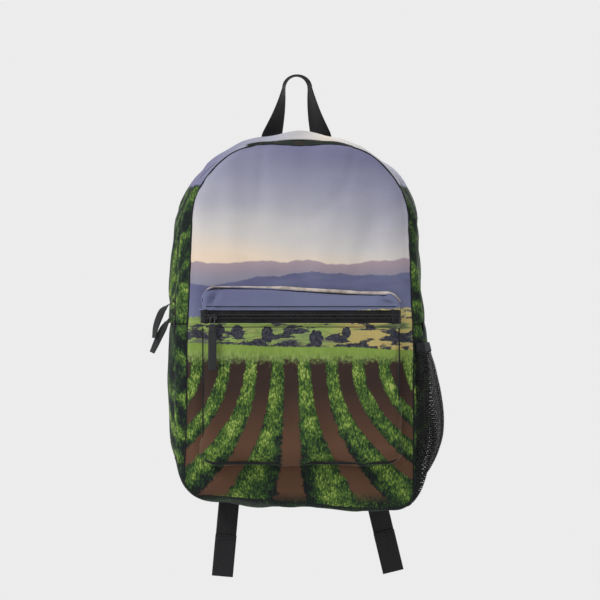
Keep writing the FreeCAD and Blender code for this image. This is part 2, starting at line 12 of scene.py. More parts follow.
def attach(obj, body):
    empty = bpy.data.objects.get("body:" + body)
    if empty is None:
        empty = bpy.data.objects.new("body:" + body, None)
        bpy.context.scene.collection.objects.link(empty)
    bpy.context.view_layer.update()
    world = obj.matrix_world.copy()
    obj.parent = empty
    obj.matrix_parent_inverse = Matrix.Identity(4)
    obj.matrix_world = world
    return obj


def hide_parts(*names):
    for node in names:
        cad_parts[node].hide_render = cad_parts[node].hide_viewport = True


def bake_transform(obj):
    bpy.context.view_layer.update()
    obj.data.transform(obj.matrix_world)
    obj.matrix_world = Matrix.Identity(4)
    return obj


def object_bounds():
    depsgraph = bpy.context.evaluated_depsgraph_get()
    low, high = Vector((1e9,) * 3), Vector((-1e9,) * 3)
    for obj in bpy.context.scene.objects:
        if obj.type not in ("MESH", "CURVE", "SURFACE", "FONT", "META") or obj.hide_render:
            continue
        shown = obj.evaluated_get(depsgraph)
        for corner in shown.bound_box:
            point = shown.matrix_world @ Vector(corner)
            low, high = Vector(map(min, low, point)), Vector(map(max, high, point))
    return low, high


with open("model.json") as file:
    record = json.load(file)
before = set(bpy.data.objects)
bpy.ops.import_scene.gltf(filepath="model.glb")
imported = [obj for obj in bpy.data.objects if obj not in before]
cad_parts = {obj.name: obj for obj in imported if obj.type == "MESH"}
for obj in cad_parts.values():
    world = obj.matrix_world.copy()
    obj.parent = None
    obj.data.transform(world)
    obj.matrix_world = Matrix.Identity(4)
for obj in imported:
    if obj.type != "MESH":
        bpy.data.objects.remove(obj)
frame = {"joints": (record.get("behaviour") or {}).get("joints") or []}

CAD_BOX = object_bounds()

MM = 0.001

# ---------------------------------------------------------------------------------------------
# Driving dimensions, in millimetres, in the frame's axes: +Z up, -Y the bag's front
# ---------------------------------------------------------------------------------------------

WAIST_Z = -330.0
ARCH_SHARE = 0.955
ZIP_END_Z = -298.0
BOTTOM_SEAM_Z = -464.0
ZIP_Y = -80.0
ZIP_SLOT = 7.0
FRONT_Y = -105.0
BACK_FACE_Y = 12.0

# (y, half width, top, bottom, corner radius, crown radius, shoulder radius)
FRONT_SEAM = (FRONT_Y, 132.5, -91.5, -502.0, 22.0, 246.0, 77.0)
BODY = [
    (0.0, 150.0, -72.0, -518.0, 40.0, 181.0, 122.0),
    (-18.0, 154.0, -70.4, -519.6, 44.0, 184.0, 126.0),
    (-35.0, 155.0, -70.0, -520.0, 45.0, 185.0, 127.0),
    (-52.0, 153.0, -72.0, -518.0, 44.0, 186.0, 124.0),
    (-66.0, 147.5, -77.5, -513.5, 40.0, 188.0, 115.5),
    (-94.0, 146.5, -79.0, -512.0, 40.0, 188.0, 114.5),
    FRONT_SEAM,
]
FRONT = [
    FRONT_SEAM,
    (-110.0, 123.0, -102.0, -493.0, 24.0, 232.0, 71.0),
    (-114.0, 104.0, -122.0, -474.0, 28.0, 205.0, 60.0),
    (-116.5, 78.0, -150.0, -444.0, 26.0, 170.0, 45.0),
    (-117.8, 44.0, -192.0, -406.0, 20.0, 110.0, 28.0),
    (-118.2, 10.0, -252.0, -330.0, 6.0, 24.0, 6.0),
]
# (y, half width, top, bottom, corner radius)
POCKET = [
    (-108.0, 114.0, -256.0, -462.0, 13.0),
    (-115.0, 115.5, -254.5, -463.5, 14.0),
    (-124.0, 115.5, -255.5, -463.0, 15.0),
    (-130.0, 114.0, -259.0, -459.5, 15.0),
    (-133.5, 110.0, -266.0, -452.0, 14.0),
    (-135.5, 98.0, -280.0, -438.0, 14.0),
    (-137.0, 60.0, -312.0, -404.0, 14.0),
    (-137.6, 16.0, -348.0, -368.0, 6.0),
]
POCKET_ZIP_Z = -290.0
POCKET_SLOT = 8.2
POCKET_TAPE_HALF = 113.0

# (z, bulge beyond the bag's side)
MESH = [(-321.0, 2.6), (-332.0, 4.0), (-350.0, 9.5), (-385.0, 17.0), (-420.0, 20.5), (-455.0, 18.0),
        (-480.0, 12.5), (-500.0, 5.0)]
BINDING = 10.5  # height of the elastic at the netting's mouth

WEB_WIDTH = 25.0
WEB = 1.5
WEB_TURN = 3.1  # from a lock bar's middle to the middle of the webbing round it
WEB_RIB = 0.05  # height of the rib along each edge of a webbing
TOOTH = (3.4, 1.15, 2.0)  # a coil tooth: across the zip, along it and off the tape
TOOTH_PITCH = 1.5
BAIL_LIFT = 2.8  # a pull's pivot above the coil's crest
PANEL_RINGS = 44
LOOP_RADIUS = 15.0
LOOP_FOOT_X = 30.0
LOOP_HINGE = (13.0, -68.0)

STRAP_PLAN = [(46.0, -94.0, 26.0), (62.0, -160.0, 31.0), (76.0, -240.0, 30.0), (78.0, -320.0, 27.0),
              (73.0, -392.0, 15.0)]
STRAP_PROFILE = [(21.0, -94.0), (30.0, -150.0), (38.0, -220.0), (40.0, -290.0), (35.0, -350.0),
                 (28.0, -392.0)]
LOCK_MIDDLE, LOCK_LOW = 14.0, 26.0
TAIL_LENGTH = 206.0
HEM = 51.0
BACK_CHANNELS = (-170.0, -235.0, -300.0, -365.0, -430.0)  # heights of the pressed channels
SIDES = {"left": -1.0, "right": 1.0}

BAG_CENTRE = np.array((0.0, -55.0, -300.0))
GOLDEN = 0.618034
FIELD_STOPS = [(0.0, (84, 92, 84)), (0.34, (104, 118, 82)), (0.40, (172, 184, 104)), (0.47, (128, 150, 78)),
               (0.52, (158, 186, 92)), (0.60, (136, 158, 96)), (0.66, (98, 100, 96)), (1.0, (128, 142, 110))]
TREES = 6
REFLECTED = 0.74  # reflectance for each unit of seen brightness


# ---------------------------------------------------------------------------------------------
# Curves and outlines
# ---------------------------------------------------------------------------------------------

def through(knots, values, at):
    """Smooth curve through values at the knots, with no overshoot."""
    knots, values, at = (np.asarray(a, float) for a in (knots, values, at))
    step = np.diff(knots)
    slope = np.diff(values) / step
    tangent = np.zeros(len(knots))
    tangent[0], tangent[-1] = slope[0], slope[-1]
    both = slope[:-1] * slope[1:]
    safe = np.where(both > 0, slope[:-1] + slope[1:], 1.0)
    tangent[1:-1] = np.where(both > 0, 2 * both / safe, 0.0)
    i = np.clip(np.searchsorted(knots, at, side="right") - 1, 0, len(step) - 1)
    t = (at - knots[i]) / step[i]
    h = step[i]
    return ((1 + 2 * t) * (1 - t) ** 2 * values[i] + t * (1 - t) ** 2 * h * tangent[i]
            + t * t * (3 - 2 * t) * values[i + 1] - t * t * (1 - t) * h * tangent[i + 1])


def section(table, key, at):
    """The row of a table at one value of its column key, with the other columns interpolated."""
    rows = sorted(table, key=lambda row: row[key])
    knots = [row[key] for row in rows]
    return [float(through(knots, [row[c] for row in rows], at)) for c in range(len(rows[0]))]


def rings(table, count):
    """Rows interpolated along a table, evenly by row number."""
    at = np.linspace(0, len(table) - 1, count)
    columns = [through(range(len(table)), [row[c] for row in table], at) for c in range(len(table[0]))]
    return list(zip(*columns))


def line(a, b, count):
    """Points from a towards b, without b itself."""
    share = np.linspace(0, 1, count, endpoint=False)[:, None]
    return np.array(a) * (1 - share) + np.array(b) * share


def arc(centre, radius, start, stop, count):
    """Points round an arc between two angles in degrees, without its last."""
    turn = np.radians(np.linspace(start, stop, count, endpoint=False))
    return np.stack([centre[0] + radius * np.cos(turn), centre[1] + radius * np.sin(turn)], 1)


def half_arch(row, levels=None):
    """Right half of a bag outline as x, z points, from the middle of the foot to the crown.

    It comes in three parts: foot, side and arch, cut at the seam and at the zip's end.
    """
    _, half, top, bottom, corner, crown, shoulder = row
    arch_half = ARCH_SHARE * half
    lean = math.asin((arch_half - shoulder) / (crown - shoulder))
    spring = top - crown + (crown - shoulder) * math.cos(lean)
    heel = bottom + corner
    rise = spring - heel
    seam, waist, zip_end = levels or (heel + 0.04 * rise, heel + 0.5 * rise, heel + 0.62 * rise)
    zip_x = half + (arch_half - half) * (zip_end - waist) / (spring - waist)
    join = 90 - math.degrees(lean)
    foot = [line((0, bottom), (half - corner, bottom), 16),
            arc((half - corner, heel), corner, -90, 0, 12),
            line((half, heel), (half, seam), 3)]
    side = [line((half, seam), (half, waist), 18), line((half, waist), (zip_x, zip_end), 6)]
    arch = [line((zip_x, zip_end), (arch_half, spring), 18),
            arc((arch_half - shoulder, spring), shoulder, 0, join, 22),
            arc((0, top - crown), crown, join, 90, 18)]
    return [np.concatenate(part) for part in (foot, side, arch)], (0.0, top)


BODY_LEVELS = (BOTTOM_SEAM_Z, WAIST_Z, ZIP_END_Z)


def ease(value, start, stop):
    """0 before start, 1 after stop and smooth between."""
    share = np.clip((value - start) / (stop - start), 0, 1)
    return share * share * (3 - 2 * share)


def settled(points):
    """The empty bag's own lean: right side drawn in, foot raised at the left, dropped at the right."""
    x, y, z = points[..., 0], points[..., 1], points[..., 2]
    front = ease(-y, 86, 104)
    wall = ease(-y, 0, 30) * (1 - front)
    foot = ease(-z, 430, 505)
    moved = points.copy()
    moved[..., 0] -= 5.5 * ease(x, 60, 130) * bump(z + 215, 75) * wall
    moved[..., 0] -= 2.0 * ease(-x, 60, 130) * bump(z + 235, 80) * wall
    moved[..., 0] += 9.0 * ease(-x, 95, 150) * ease(-z, 440, 488) * (1 - front)
    moved[..., 0] -= 12.0 * ease(x, 95, 150) * ease(-z, 425, 500) * (1 - front)
    moved[..., 0] += 3.0 * ease(-x, 95, 150) * bump(z + 440, 90) * (1 - front)
    moved[..., 0] -= 3.0 * ease(-x, -20, 100) * ease(-z, 400, 480) * front
    moved[..., 2] += 8.5 * ease(-x, 40, 120) * foot * (1 - 0.7 * front)
    belly = foot * ease(-y, 2, 30) * (1 - front)
    moved[..., 2] += (4.0 + 4.0 * ease(x, 0, 110)) * belly
    moved[..., 2] -= 14.0 * ease(x, -110, 120) * ease(-y, 84, 104) * ease(-z, 430, 498)
    crest = ease(z, -135, -95) * bump(x, 125)
    moved[..., 2] -= 3.6 * crest * ease(-y, 12, 74) * (1 - ease(-y, 90, 104))
    moved[..., 2] += 8.0 * ease(z, -140, -102) * bump(np.abs(x) - 60, 46) * ease(-y, 88, 104)
    return moved


def at_depth(outline, y):
    """An outline's x, z points as points in space at y."""
    return np.stack([outline[:, 0], np.full(len(outline), y), outline[:, 1]], 1)


def mirrored(points):
    """Outline points on the other side of the bag."""
    return points * np.array((-1.0, 1.0))


def over_arch(row):
    """Outline from the right end of the zip over the crown to its left end."""
    (_, _, arch), top = half_arch(row, BODY_LEVELS)
    return np.concatenate([arch, [top], mirrored(arch)[::-1]])


def round_foot(row):
    """Outline from the left seam down round the foot to the right seam."""
    (foot, side, _), _ = half_arch(row, BODY_LEVELS)
    right = np.concatenate([foot, side[:1]])
    return np.concatenate([mirrored(right)[:0:-1], right])


def up_side(row, sign):
    """Outline of one side panel, from the bottom seam up to the zip's end."""
    (_, side, arch), _ = half_arch(row, BODY_LEVELS)
    return np.concatenate([side, arch[:1]]) * np.array((sign, 1.0))


def whole_arch(row):
    """Closed outline, from the middle of the foot round the right side."""
    parts, top = half_arch(row)
    right = np.concatenate(parts)
    return np.concatenate([right, [top], mirrored(right)[:0:-1]])


def round_box(row):
    """Closed outline of a rectangle with round corners, from the middle of the foot."""
    _, half, top, bottom, corner = row
    right = np.concatenate([
        line((0, bottom), (half - corner, bottom), 24),
        arc((half - corner, bottom + corner), corner, -90, 0, 10),
        line((half, bottom + corner), (half, top - corner), 40),
        arc((half - corner, top - corner), corner, 0, 90, 10),
        line((half - corner, top), (0, top), 24),
    ])
    return np.concatenate([right, [(0.0, top)], mirrored(right)[:0:-1]])


def strip_of_body(outline, y_start, y_stop, count, *extra):
    """Grid of points on the bag's wall: along the outline, then from y_start to y_stop."""
    columns = []
    for y in np.linspace(y_start, y_stop, count):
        columns.append(at_depth(outline(section(BODY, 0, y), *extra), y))
    return settled(np.stack(columns, 1))


def dome(table, outline, count):
    """Grid of closed rings, from a rim in to a small last ring."""
    return np.stack([at_depth(outline(row), row[0]) for row in rings(table, count)], 1)


def normals(grid, closed=False):
    """Unit normals of a grid, pointing away from the bag's middle."""
    if closed:
        around = np.roll(grid, -1, 0) - np.roll(grid, 1, 0)
    else:
        around = np.gradient(grid, axis=0)
    off = np.cross(around, np.gradient(grid, axis=1))
    length = np.linalg.norm(off, axis=-1, keepdims=True)
    off = off / np.where(length > 1e-9, length, 1.0)
    if np.sum(off * (grid - BAG_CENTRE)) < 0:
        off = -off
    return off


def ripple(points, size, stretch=(1, 1, 1), seed=0.0, octaves=1):
    """Smooth noise from about -1 to 1 at each point; size is the ripple's length in mm."""
    flat = points.reshape(-1, 3) * np.array(stretch) / size
    flat = flat + np.array((seed, seed * 1.7, seed * 0.6))
    out = np.zeros(len(flat))
    for octave in range(octaves):
        scale = 2.0 ** octave
        out += np.array([noise.noise(Vector(p * scale)) for p in flat]) / scale
    return 1.6 * out.reshape(points.shape[:-1])


def crease(points, size, stretch, seed):
    """Narrow valleys where the noise crosses zero, from 0 to 1."""
    return np.exp(-(ripple(points, size, stretch, seed) / 0.16) ** 2)


def bump(distance, width):
    """1 where distance is 0, fading to almost 0 over about two widths."""
    return np.exp(-(distance / width) ** 2)


# ---------------------------------------------------------------------------------------------
# Mesh building
# ---------------------------------------------------------------------------------------------

def keep_rest(mesh, places):
    """Stores where each point lies in the print or the weave, so that a bend carries its pattern."""
    layer = mesh.attributes.get("rest") or mesh.attributes.new("rest", "FLOAT_VECTOR", "POINT")
    layer.data.foreach_set("vector", np.asarray(places, np.float32).reshape(-1))


def add_mesh(name, points, faces, materials, smooth=True, rest=None):
    """A new object from points in millimetres; its print lies at rest, or else at the points."""
    mesh = bpy.data.meshes.new(name)
    mesh.from_pydata([tuple(p) for p in np.asarray(points).reshape(-1, 3) * MM], [], faces)
    keep_rest(mesh, np.asarray(points if rest is None else rest).reshape(-1, 3) * MM)
    for material in materials:
        mesh.materials.append(material)
    mesh.polygons.foreach_set("use_smooth", [smooth] * len(mesh.polygons))
    obj = bpy.data.objects.new(name, mesh)
    bpy.context.scene.collection.objects.link(obj)
    return obj


def grid_faces(rows, columns, closed=False):
    """Four-sided faces over a grid of points; closed joins the last row to the first."""
    faces = []
    for i in range(rows if closed else rows - 1):
        for j in range(columns - 1):
            a, b = i * columns + j, (i + 1) % rows * columns + j
            faces.append((a, b, b + 1, a + 1))
    return faces


def face_out(obj):
    """Turns an open layer's faces away from the bag's middle."""
    mesh = obj.data
    middle = Vector(BAG_CENTRE * MM)
    if sum((p.center - middle).dot(p.normal) * p.area for p in mesh.polygons) < 0:
        mesh.flip_normals()
    return obj


def cloth(name, grid, materials, closed=False, cap=False, thickness=1.2, offset=-1.0):
    """A cloth layer on a grid of points, with its lining on the inside."""
    rows, columns = grid.shape[:2]
    faces = grid_faces(rows, columns, closed)
    if cap:
        faces.append(tuple(i * columns + columns - 1 for i in range(rows)))
    obj = face_out(add_mesh(name, grid, faces, materials))
    layer = obj.modifiers.new("thickness", "SOLIDIFY")
    layer.thickness = thickness * MM
    layer.offset = offset
    layer.material_offset = 1
    layer.use_even_offset = False
    return obj


def directions(path):
    """Unit tangent at each point of a path."""
    tangent = np.gradient(path, axis=0)
    return tangent / np.linalg.norm(tangent, axis=1, keepdims=True)


def frames_along(path, side):
    """Unit tangent, side and up vectors at each point of a path; side may be one vector or many."""
    path = np.asarray(path, float)
    tangent = directions(path)
    side = np.broadcast_to(np.asarray(side, float), path.shape)
    side = side - np.sum(side * tangent, 1, keepdims=True) * tangent
    side = side / np.linalg.norm(side, axis=1, keepdims=True)
    return tangent, side, np.cross(side, tangent)


def swept(name, path, side, profile, material, closed=False, printed=False):
    """A solid made by moving a closed profile of (across, up) points along a path.

    Its pattern lies along it, unless it is cut from the printed cloth.
    """
    _, across, up = frames_along(path, side)
    if closed:
        path = np.asarray(path, float)
        tangent = np.roll(path, -1, 0) - np.roll(path, 1, 0)
        tangent /= np.linalg.norm(tangent, axis=1, keepdims=True)
        across = across - np.sum(across * tangent, 1, keepdims=True) * tangent
        up = np.cross(across, tangent)
    profile = np.asarray(profile, float)
    if profile.ndim == 2:
        profile = np.broadcast_to(profile, (len(path), *profile.shape))
    points = (np.asarray(path, float)[:, None] + profile[..., :1] * across[:, None]
              + profile[..., 1:] * up[:, None])
    rows, columns = points.shape[:2]
    faces = []
    for i in range(rows if closed else rows - 1):
        for j in range(columns):
            a, b = i * columns, (i + 1) % rows * columns
            k = (j + 1) % columns
            faces.append((a + j, a + k, b + k, b + j))
    if not closed:
        faces.append(tuple(range(columns))[::-1])
        faces.append(tuple((rows - 1) * columns + j for j in range(columns)))
    along = np.broadcast_to(run_along(path)[:, None, None], (rows, columns, 1))
    rest = points if printed else np.concatenate([profile, along], 2)
    obj = add_mesh(name, points, faces, [material], rest=rest)
    tidy_normals(obj)
    return obj


def tidy_normals(obj, weld=False):
    """Turns a closed piece's faces outwards, after joining points that meet if asked."""
    work = bmesh.new()
    work.from_mesh(obj.data)
    if weld:
        bmesh.ops.remove_doubles(work, verts=work.verts, dist=1e-7)
    bmesh.ops.recalc_face_normals(work, faces=work.faces)
    work.to_mesh(obj.data)
    work.free()


def round_profile(radius, sides=8):
    """Closed circle as (across, up) points."""
    turn = np.linspace(0, 2 * math.pi, sides, endpoint=False)
    return np.stack([radius * np.cos(turn), radius * np.sin(turn)], 1)


def tape_profile(width, thickness, steps=12, ribs=0.0):
    """Flat webbing section with soft selvedges and, if asked, a low rib along each edge."""
    across = np.linspace(-1, 1, steps + 1)
    edge = np.sqrt(np.clip(1 - np.abs(across) ** 10, 0.12, 1))
    lift = ribs * bump(np.abs(across) - 0.86, 0.08)
    top = np.stack([across * width / 2, thickness / 2 * edge + lift], 1)
    under = np.stack([across[::-1] * width / 2, -thickness / 2 * edge[::-1] - lift[::-1]], 1)
    return np.concatenate([top, under])


def run_along(path):
    """Distance from a path's start to each of its points."""
    return np.concatenate([[0], np.cumsum(np.linalg.norm(np.diff(path, axis=0), axis=1))])


def resample(path, step):
    """Points evenly spaced along a path."""
    path = np.asarray(path, float)
    run = run_along(path)
    at = np.linspace(0, run[-1], max(2, int(round(run[-1] / step)) + 1))
    return np.stack([np.interp(at, run, path[:, c]) for c in range(3)], 1)


def beads(name, centres, along, across, size, material):
    """Many small rounded blocks in one piece, such as stitches or a coil's teeth."""
    ring = [(-1, 0.0), (-0.62, 0.8), (0.62, 0.8), (1, 0.0)]
    up = np.cross(along, across)
    points, faces = [], []
    for centre, a, c, u in zip(centres, along, across, up):
        start = len(points)
        for s, r in ring:
            for k in range(6):
                turn = k * math.pi / 3
                points.append(centre + a * s * size[0] / 2 + c * r * math.cos(turn) * size[1] / 2
                              + u * r * math.sin(turn) * size[2] / 2)
        for i in range(3):
            for k in range(6):
                n = (k + 1) % 6
                low, high = start + i * 6, start + i * 6 + 6
                faces.append((low + k, low + n, high + n, high + k))
    obj = add_mesh(name, np.array(points), faces, [material])
    tidy_normals(obj, weld=True)
    return obj


def stitch_line(name, path, lift_towards, material, pitch=3.2, length=2.2, thick=0.55):
    """A row of thread stitches along a path, lying on the cloth."""
    points = resample(path, pitch)
    tangent, across, _ = frames_along(points, lift_towards)
    return beads(name, points, tangent, np.cross(tangent, across), (length, thick, thick), material)


def joined(name, objects):
    """Several built objects made into one piece."""
    first = objects[0]
    with bpy.context.temp_override(active_object=first, selected_editable_objects=objects):
        bpy.ops.object.join()
    first.name = name
    return first


# ---------------------------------------------------------------------------------------------
# Baking placements and swelling padded pieces
# ---------------------------------------------------------------------------------------------

def bend_at_fold(obj):
    """Bakes the piece's placement into its mesh; the piece is not bent."""
    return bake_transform(obj)


def puffed(obj, voxel, pressure, cap):
    """Swells a padded piece by cloth simulation; no point moves by more than cap millimetres."""
    remesh = obj.modifiers.new("remesh", "REMESH")
    remesh.mode = "VOXEL"
    remesh.voxel_size = voxel * MM
    bake(obj)
    start = np.array([v.co for v in obj.data.vertices])
    soft = obj.modifiers.new("cloth", "CLOTH")
    soft.settings.quality = 5
    soft.settings.mass = 0.3
    soft.settings.use_pressure = True
    soft.settings.uniform_pressure_force = pressure
    soft.settings.effector_weights.gravity = 0
    soft.settings.tension_stiffness = 20
    soft.settings.bending_stiffness = 1.0
    scene = bpy.context.scene
    for step in range(1, 17):
        scene.frame_set(step)
    bake(obj)
    scene.frame_set(1)
    moved = np.array([v.co for v in obj.data.vertices]) - start
    far = np.linalg.norm(moved, axis=1, keepdims=True)
    kept = start + moved * np.minimum(1, cap * MM / np.maximum(far, 1e-9))
    obj.data.vertices.foreach_set("co", kept.astype(np.float32).ravel())
    obj.data.polygons.foreach_set("use_smooth", [True] * len(obj.data.polygons))
    keep_rest(obj.data, start)
    obj.data.update()
    return obj


def bake(obj):
    """Applies every modifier on an object."""
    graph = bpy.context.evaluated_depsgraph_get()
    graph.update()
    mesh = bpy.data.meshes.new_from_object(obj.evaluated_get(graph))
    obj.modifiers.clear()
    obj.data = mesh


# ---------------------------------------------------------------------------------------------
# Materials
# ---------------------------------------------------------------------------------------------

class Shader:
    """Builds a node material; every method returns the output socket of the node it adds."""

    def __init__(self, name, kept=True):
        self.material = bpy.data.materials.new(name)
        self.material.use_nodes = True
        self.tree = self.material.node_tree
        self.body = self.tree.nodes["Principled BSDF"]
        if kept:
            self.place = self.add("ShaderNodeAttribute", attribute_name="rest").outputs["Vector"]
        else:
            self.place = self.add("ShaderNodeTexCoord").outputs["Object"]

    def add(self, kind, inputs=(), **settings):
        node = self.tree.nodes.new(kind)
        for key, value in settings.items():
            setattr(node, key, value)
        for key, value in dict(inputs).items():
            self.feed(node.inputs[key], value)
        return node

    def feed(self, socket, value):
        if isinstance(value, bpy.types.NodeSocket):
            self.tree.links.new(value, socket)
        else:
            socket.default_value = value

    def math(self, operation, a, b=0.0, c=0.0, clamp=False):
        node = self.add("ShaderNodeMath", {0: a, 1: b, 2: c}, operation=operation, use_clamp=clamp)
        return node.outputs[0]

    def plus(self, a, b, clamp=False):
        return self.math("ADD", a, b, clamp=clamp)

    def minus(self, a, b):
        return self.math("SUBTRACT", a, b)

    def times(self, a, b):
        return self.math("MULTIPLY", a, b)

    def madd(self, a, b, c):
        """a times b, plus c."""
        return self.math("MULTIPLY_ADD", a, b, c)

    def axes(self):
        node = self.add("ShaderNodeSeparateXYZ", {0: self.place})
        return node.outputs

    def vector(self, x, y, z):
        return self.add("ShaderNodeCombineXYZ", {0: x, 1: y, 2: z}).outputs[0]

    def scaled(self, scale, offset=(0, 0, 0)):
        node = self.add("ShaderNodeMapping", {"Vector": self.place, "Scale": scale, "Location": offset})
        return node.outputs[0]

    def noise(self, scale, detail=2.0, vector=None, rough=0.5):
        node = self.add("ShaderNodeTexNoise", {"Vector": vector or self.place, "Scale": scale,
                                               "Detail": detail, "Roughness": rough})
        return node.outputs["Fac"]

    def cells(self, scale, vector=None, feature="F1", output="Distance"):
        node = self.add("ShaderNodeTexVoronoi", {"Vector": vector or self.place, "Scale": scale},
                        feature=feature)
        return node.outputs[output]

    def step(self, value, low, high):
        """0 below low, 1 above high and smooth between; low may be above high."""
        node = self.add("ShaderNodeMapRange", {"Value": value, "From Min": low, "From Max": high},
                        interpolation_type="SMOOTHSTEP", clamp=True)
        return node.outputs[0]

    def ramp(self, value, stops):
        node = self.add("ShaderNodeValToRGB", {"Fac": value})
        elements = node.color_ramp.elements
        while len(elements) < len(stops):
            elements.new(1.0)
        for element, (position, colour) in zip(elements, stops):
            element.position = position
            element.color = (*linear(colour), 1.0)
        return node.outputs[0]

    def mix(self, share, a, b, blend="MIX"):
        node = self.add("ShaderNodeMix", data_type="RGBA", blend_type=blend)
        self.feed(node.inputs[0], share)
        for socket, value in ((node.inputs[6], a), (node.inputs[7], b)):
            self.feed(socket, value if isinstance(value, bpy.types.NodeSocket) else (*linear(value), 1.0))
        return node.outputs[2]

    def finish(self, colour, rough, height=None, depth=0.0, **settings):
        """Connects the surface and gives back the material; colour comes from a node."""
        self.feed(self.body.inputs["Base Color"], colour)
        self.feed(self.body.inputs["Roughness"], rough)
        if height is not None:
            node = self.add("ShaderNodeBump", {"Height": height, "Distance": depth * MM, "Strength": 1.0})
            self.feed(self.body.inputs["Normal"], node.outputs[0])
        for key, value in settings.items():
            self.feed(self.body.inputs[key.replace("_", " ")], value)
        return self.material


def linear(colour):
    """Reflectance of a surface that looks like an sRGB colour, from 0 to 255, under these lights."""
    return [REFLECTED * (c / 255 / 12.92 if c <= 10.3 else ((c / 255 + 0.055) / 1.055) ** 2.4)
            for c in colour]


def weave(shader, pitch, plane=("X", "Z")):
    """Height of a plain weave whose threads are pitch millimetres apart."""
    axes = shader.axes()
    waves = []
    for axis in plane:
        turn = shader.times(axes[axis], 2 * math.pi / (pitch * MM))
        waves.append(shader.math("SINE", turn))
    return shader.times(waves[0], waves[1])


def leaf_colours(shader, tone):
    """Foliage: small leaves that catch light, in greens from dark at tone 0 to bright at tone 1."""
    leaf = shader.cells(520.0, vector=shader.scaled((1, 1, 0.42)))
    fine = shader.noise(700.0, 5.0, vector=shader.scaled((1, 1, 0.6)), rough=0.75)
    broad = shader.noise(70.0, 3.0)
    light = shader.madd(leaf, -0.62, 0.42)
    light = shader.plus(light, shader.madd(fine, 1.3, -0.62))
    light = shader.plus(light, shader.madd(broad, 1.1, -0.58))
    light = shader.plus(light, shader.madd(tone, 0.66, 0.0), clamp=True)
    return shader.ramp(light, [(0.0, (14, 20, 24)), (0.22, (22, 42, 28)), (0.42, (42, 69, 33)),
                               (0.62, (72, 103, 42)), (0.82, (112, 142, 58)), (1.0, (174, 192, 100))])


def sky_colours(shader, height, across):
    """Evening sky: height is 0 at the hills and 1 at the top of the front panel."""
    cloud = shader.noise(7.0, 3.0, vector=shader.scaled((1, 1, 3.0)))
    height = shader.plus(height, shader.madd(cloud, 0.2, -0.1))
    height = shader.plus(height, shader.times(across, 0.9))
    return shader.ramp(height, [(0.0, (252, 226, 200)), (0.12, (246, 228, 208)), (0.30, (220, 216, 214)),
                                (0.56, (180, 180, 194)), (0.8, (150, 150, 175)), (1.0, (126, 126, 158))])


def blob(shader, x, z, shape, ragged):
    """Mask of one ragged oval patch, given as (centre x, centre z, half width, half height)."""
    across = shader.madd(x, 1 / shape[2], -shape[0] / shape[2])
    upward = shader.madd(z, 1 / shape[3], -shape[1] / shape[3])
    reach = shader.plus(shader.times(across, across), shader.times(upward, upward))
    return shader.step(shader.plus(reach, ragged), 1.06, 0.94)


def landscape(shader):
    """The front print: sky, hills, fields, hedges and crop rows that run away to one point."""
    axes = shader.axes()
    x, z = axes["X"], axes["Z"]
    flat = shader.vector(x, 0.0, z)
    fringe = shader.noise(260.0, 3.0, vector=flat)

    def ground(level, slope, hills, ragged, shift):
        """Depth below a skyline, so that the land lies where it is positive."""
        roll = shader.noise(13.0, 4.0, vector=shader.vector(x, shift, 0.0))
        top = shader.madd(x, slope, level)
        top = shader.plus(top, shader.madd(roll, hills, -hills / 2))
        top = shader.plus(top, shader.madd(fringe, ragged, -ragged / 2))
        return shader.minus(top, z)

    sky_height = shader.madd(z, 1 / 0.155, 0.248 / 0.155)
    picture = sky_colours(shader, sky_height, x)

    far = ground(-0.2260, 0.020, 0.030, 0.0, 0.3)
    haze = shader.step(far, 0.0, 0.026)
    far_colour = shader.mix(haze, (178, 160, 170), (150, 150, 168))
    picture = shader.mix(shader.step(far, -0.0006, 0.0016), picture, far_colour)

    near = ground(-0.2430, 0.075, 0.034, 0.0016, 1.9)
    depth = shader.step(near, 0.0, 0.062)
    near_colour = shader.mix(depth, (104, 106, 142), (124, 134, 164))
    shade = shader.noise(34.0, 3.0, vector=shader.scaled((0.6, 1, 2.2)))
    near_colour = shader.mix(shader.step(shade, 0.35, 0.7), near_colour, (116, 120, 152))
    picture = shader.mix(shader.step(near, -0.0004, 0.0012), picture, near_colour)

    plain = ground(-0.2840, 0.035, 0.010, 0.004, 0.7)
    speck = shader.step(shader.noise(150.0, 2.0, vector=shader.scaled((1, 1, 2.6))), 0.52, 0.60)
    fields = shader.mix(shader.step(x, -0.03, 0.07), (152, 166, 104), (212, 198, 128))
    fields = shader.mix(shader.times(speck, 0.75), fields, (84, 84, 104))
    picture = shader.mix(shader.step(plain, 0.0, 0.0016), picture, fields)
    picture = countryside(shader, x, z, fringe, picture)

    meadow = ground(-0.3235, -0.03, 0.010, 0.003, 1.1)
    blades = shader.noise(420.0, 3.0, vector=shader.scaled((1, 1, 0.35)))
    grass = shader.mix(shader.step(blades, 0.3, 0.7), (96, 122, 58), (160, 178, 112))
    bright = shader.mix(blades, (120, 150, 62), (150, 176, 84))
    grass = shader.mix(shader.step(meadow, 0.003, 0.022), bright, grass)
    picture = shader.mix(shader.step(meadow, 0.0, 0.0018), picture, grass)
    return crop_rows(shader, x, z, fringe, picture)


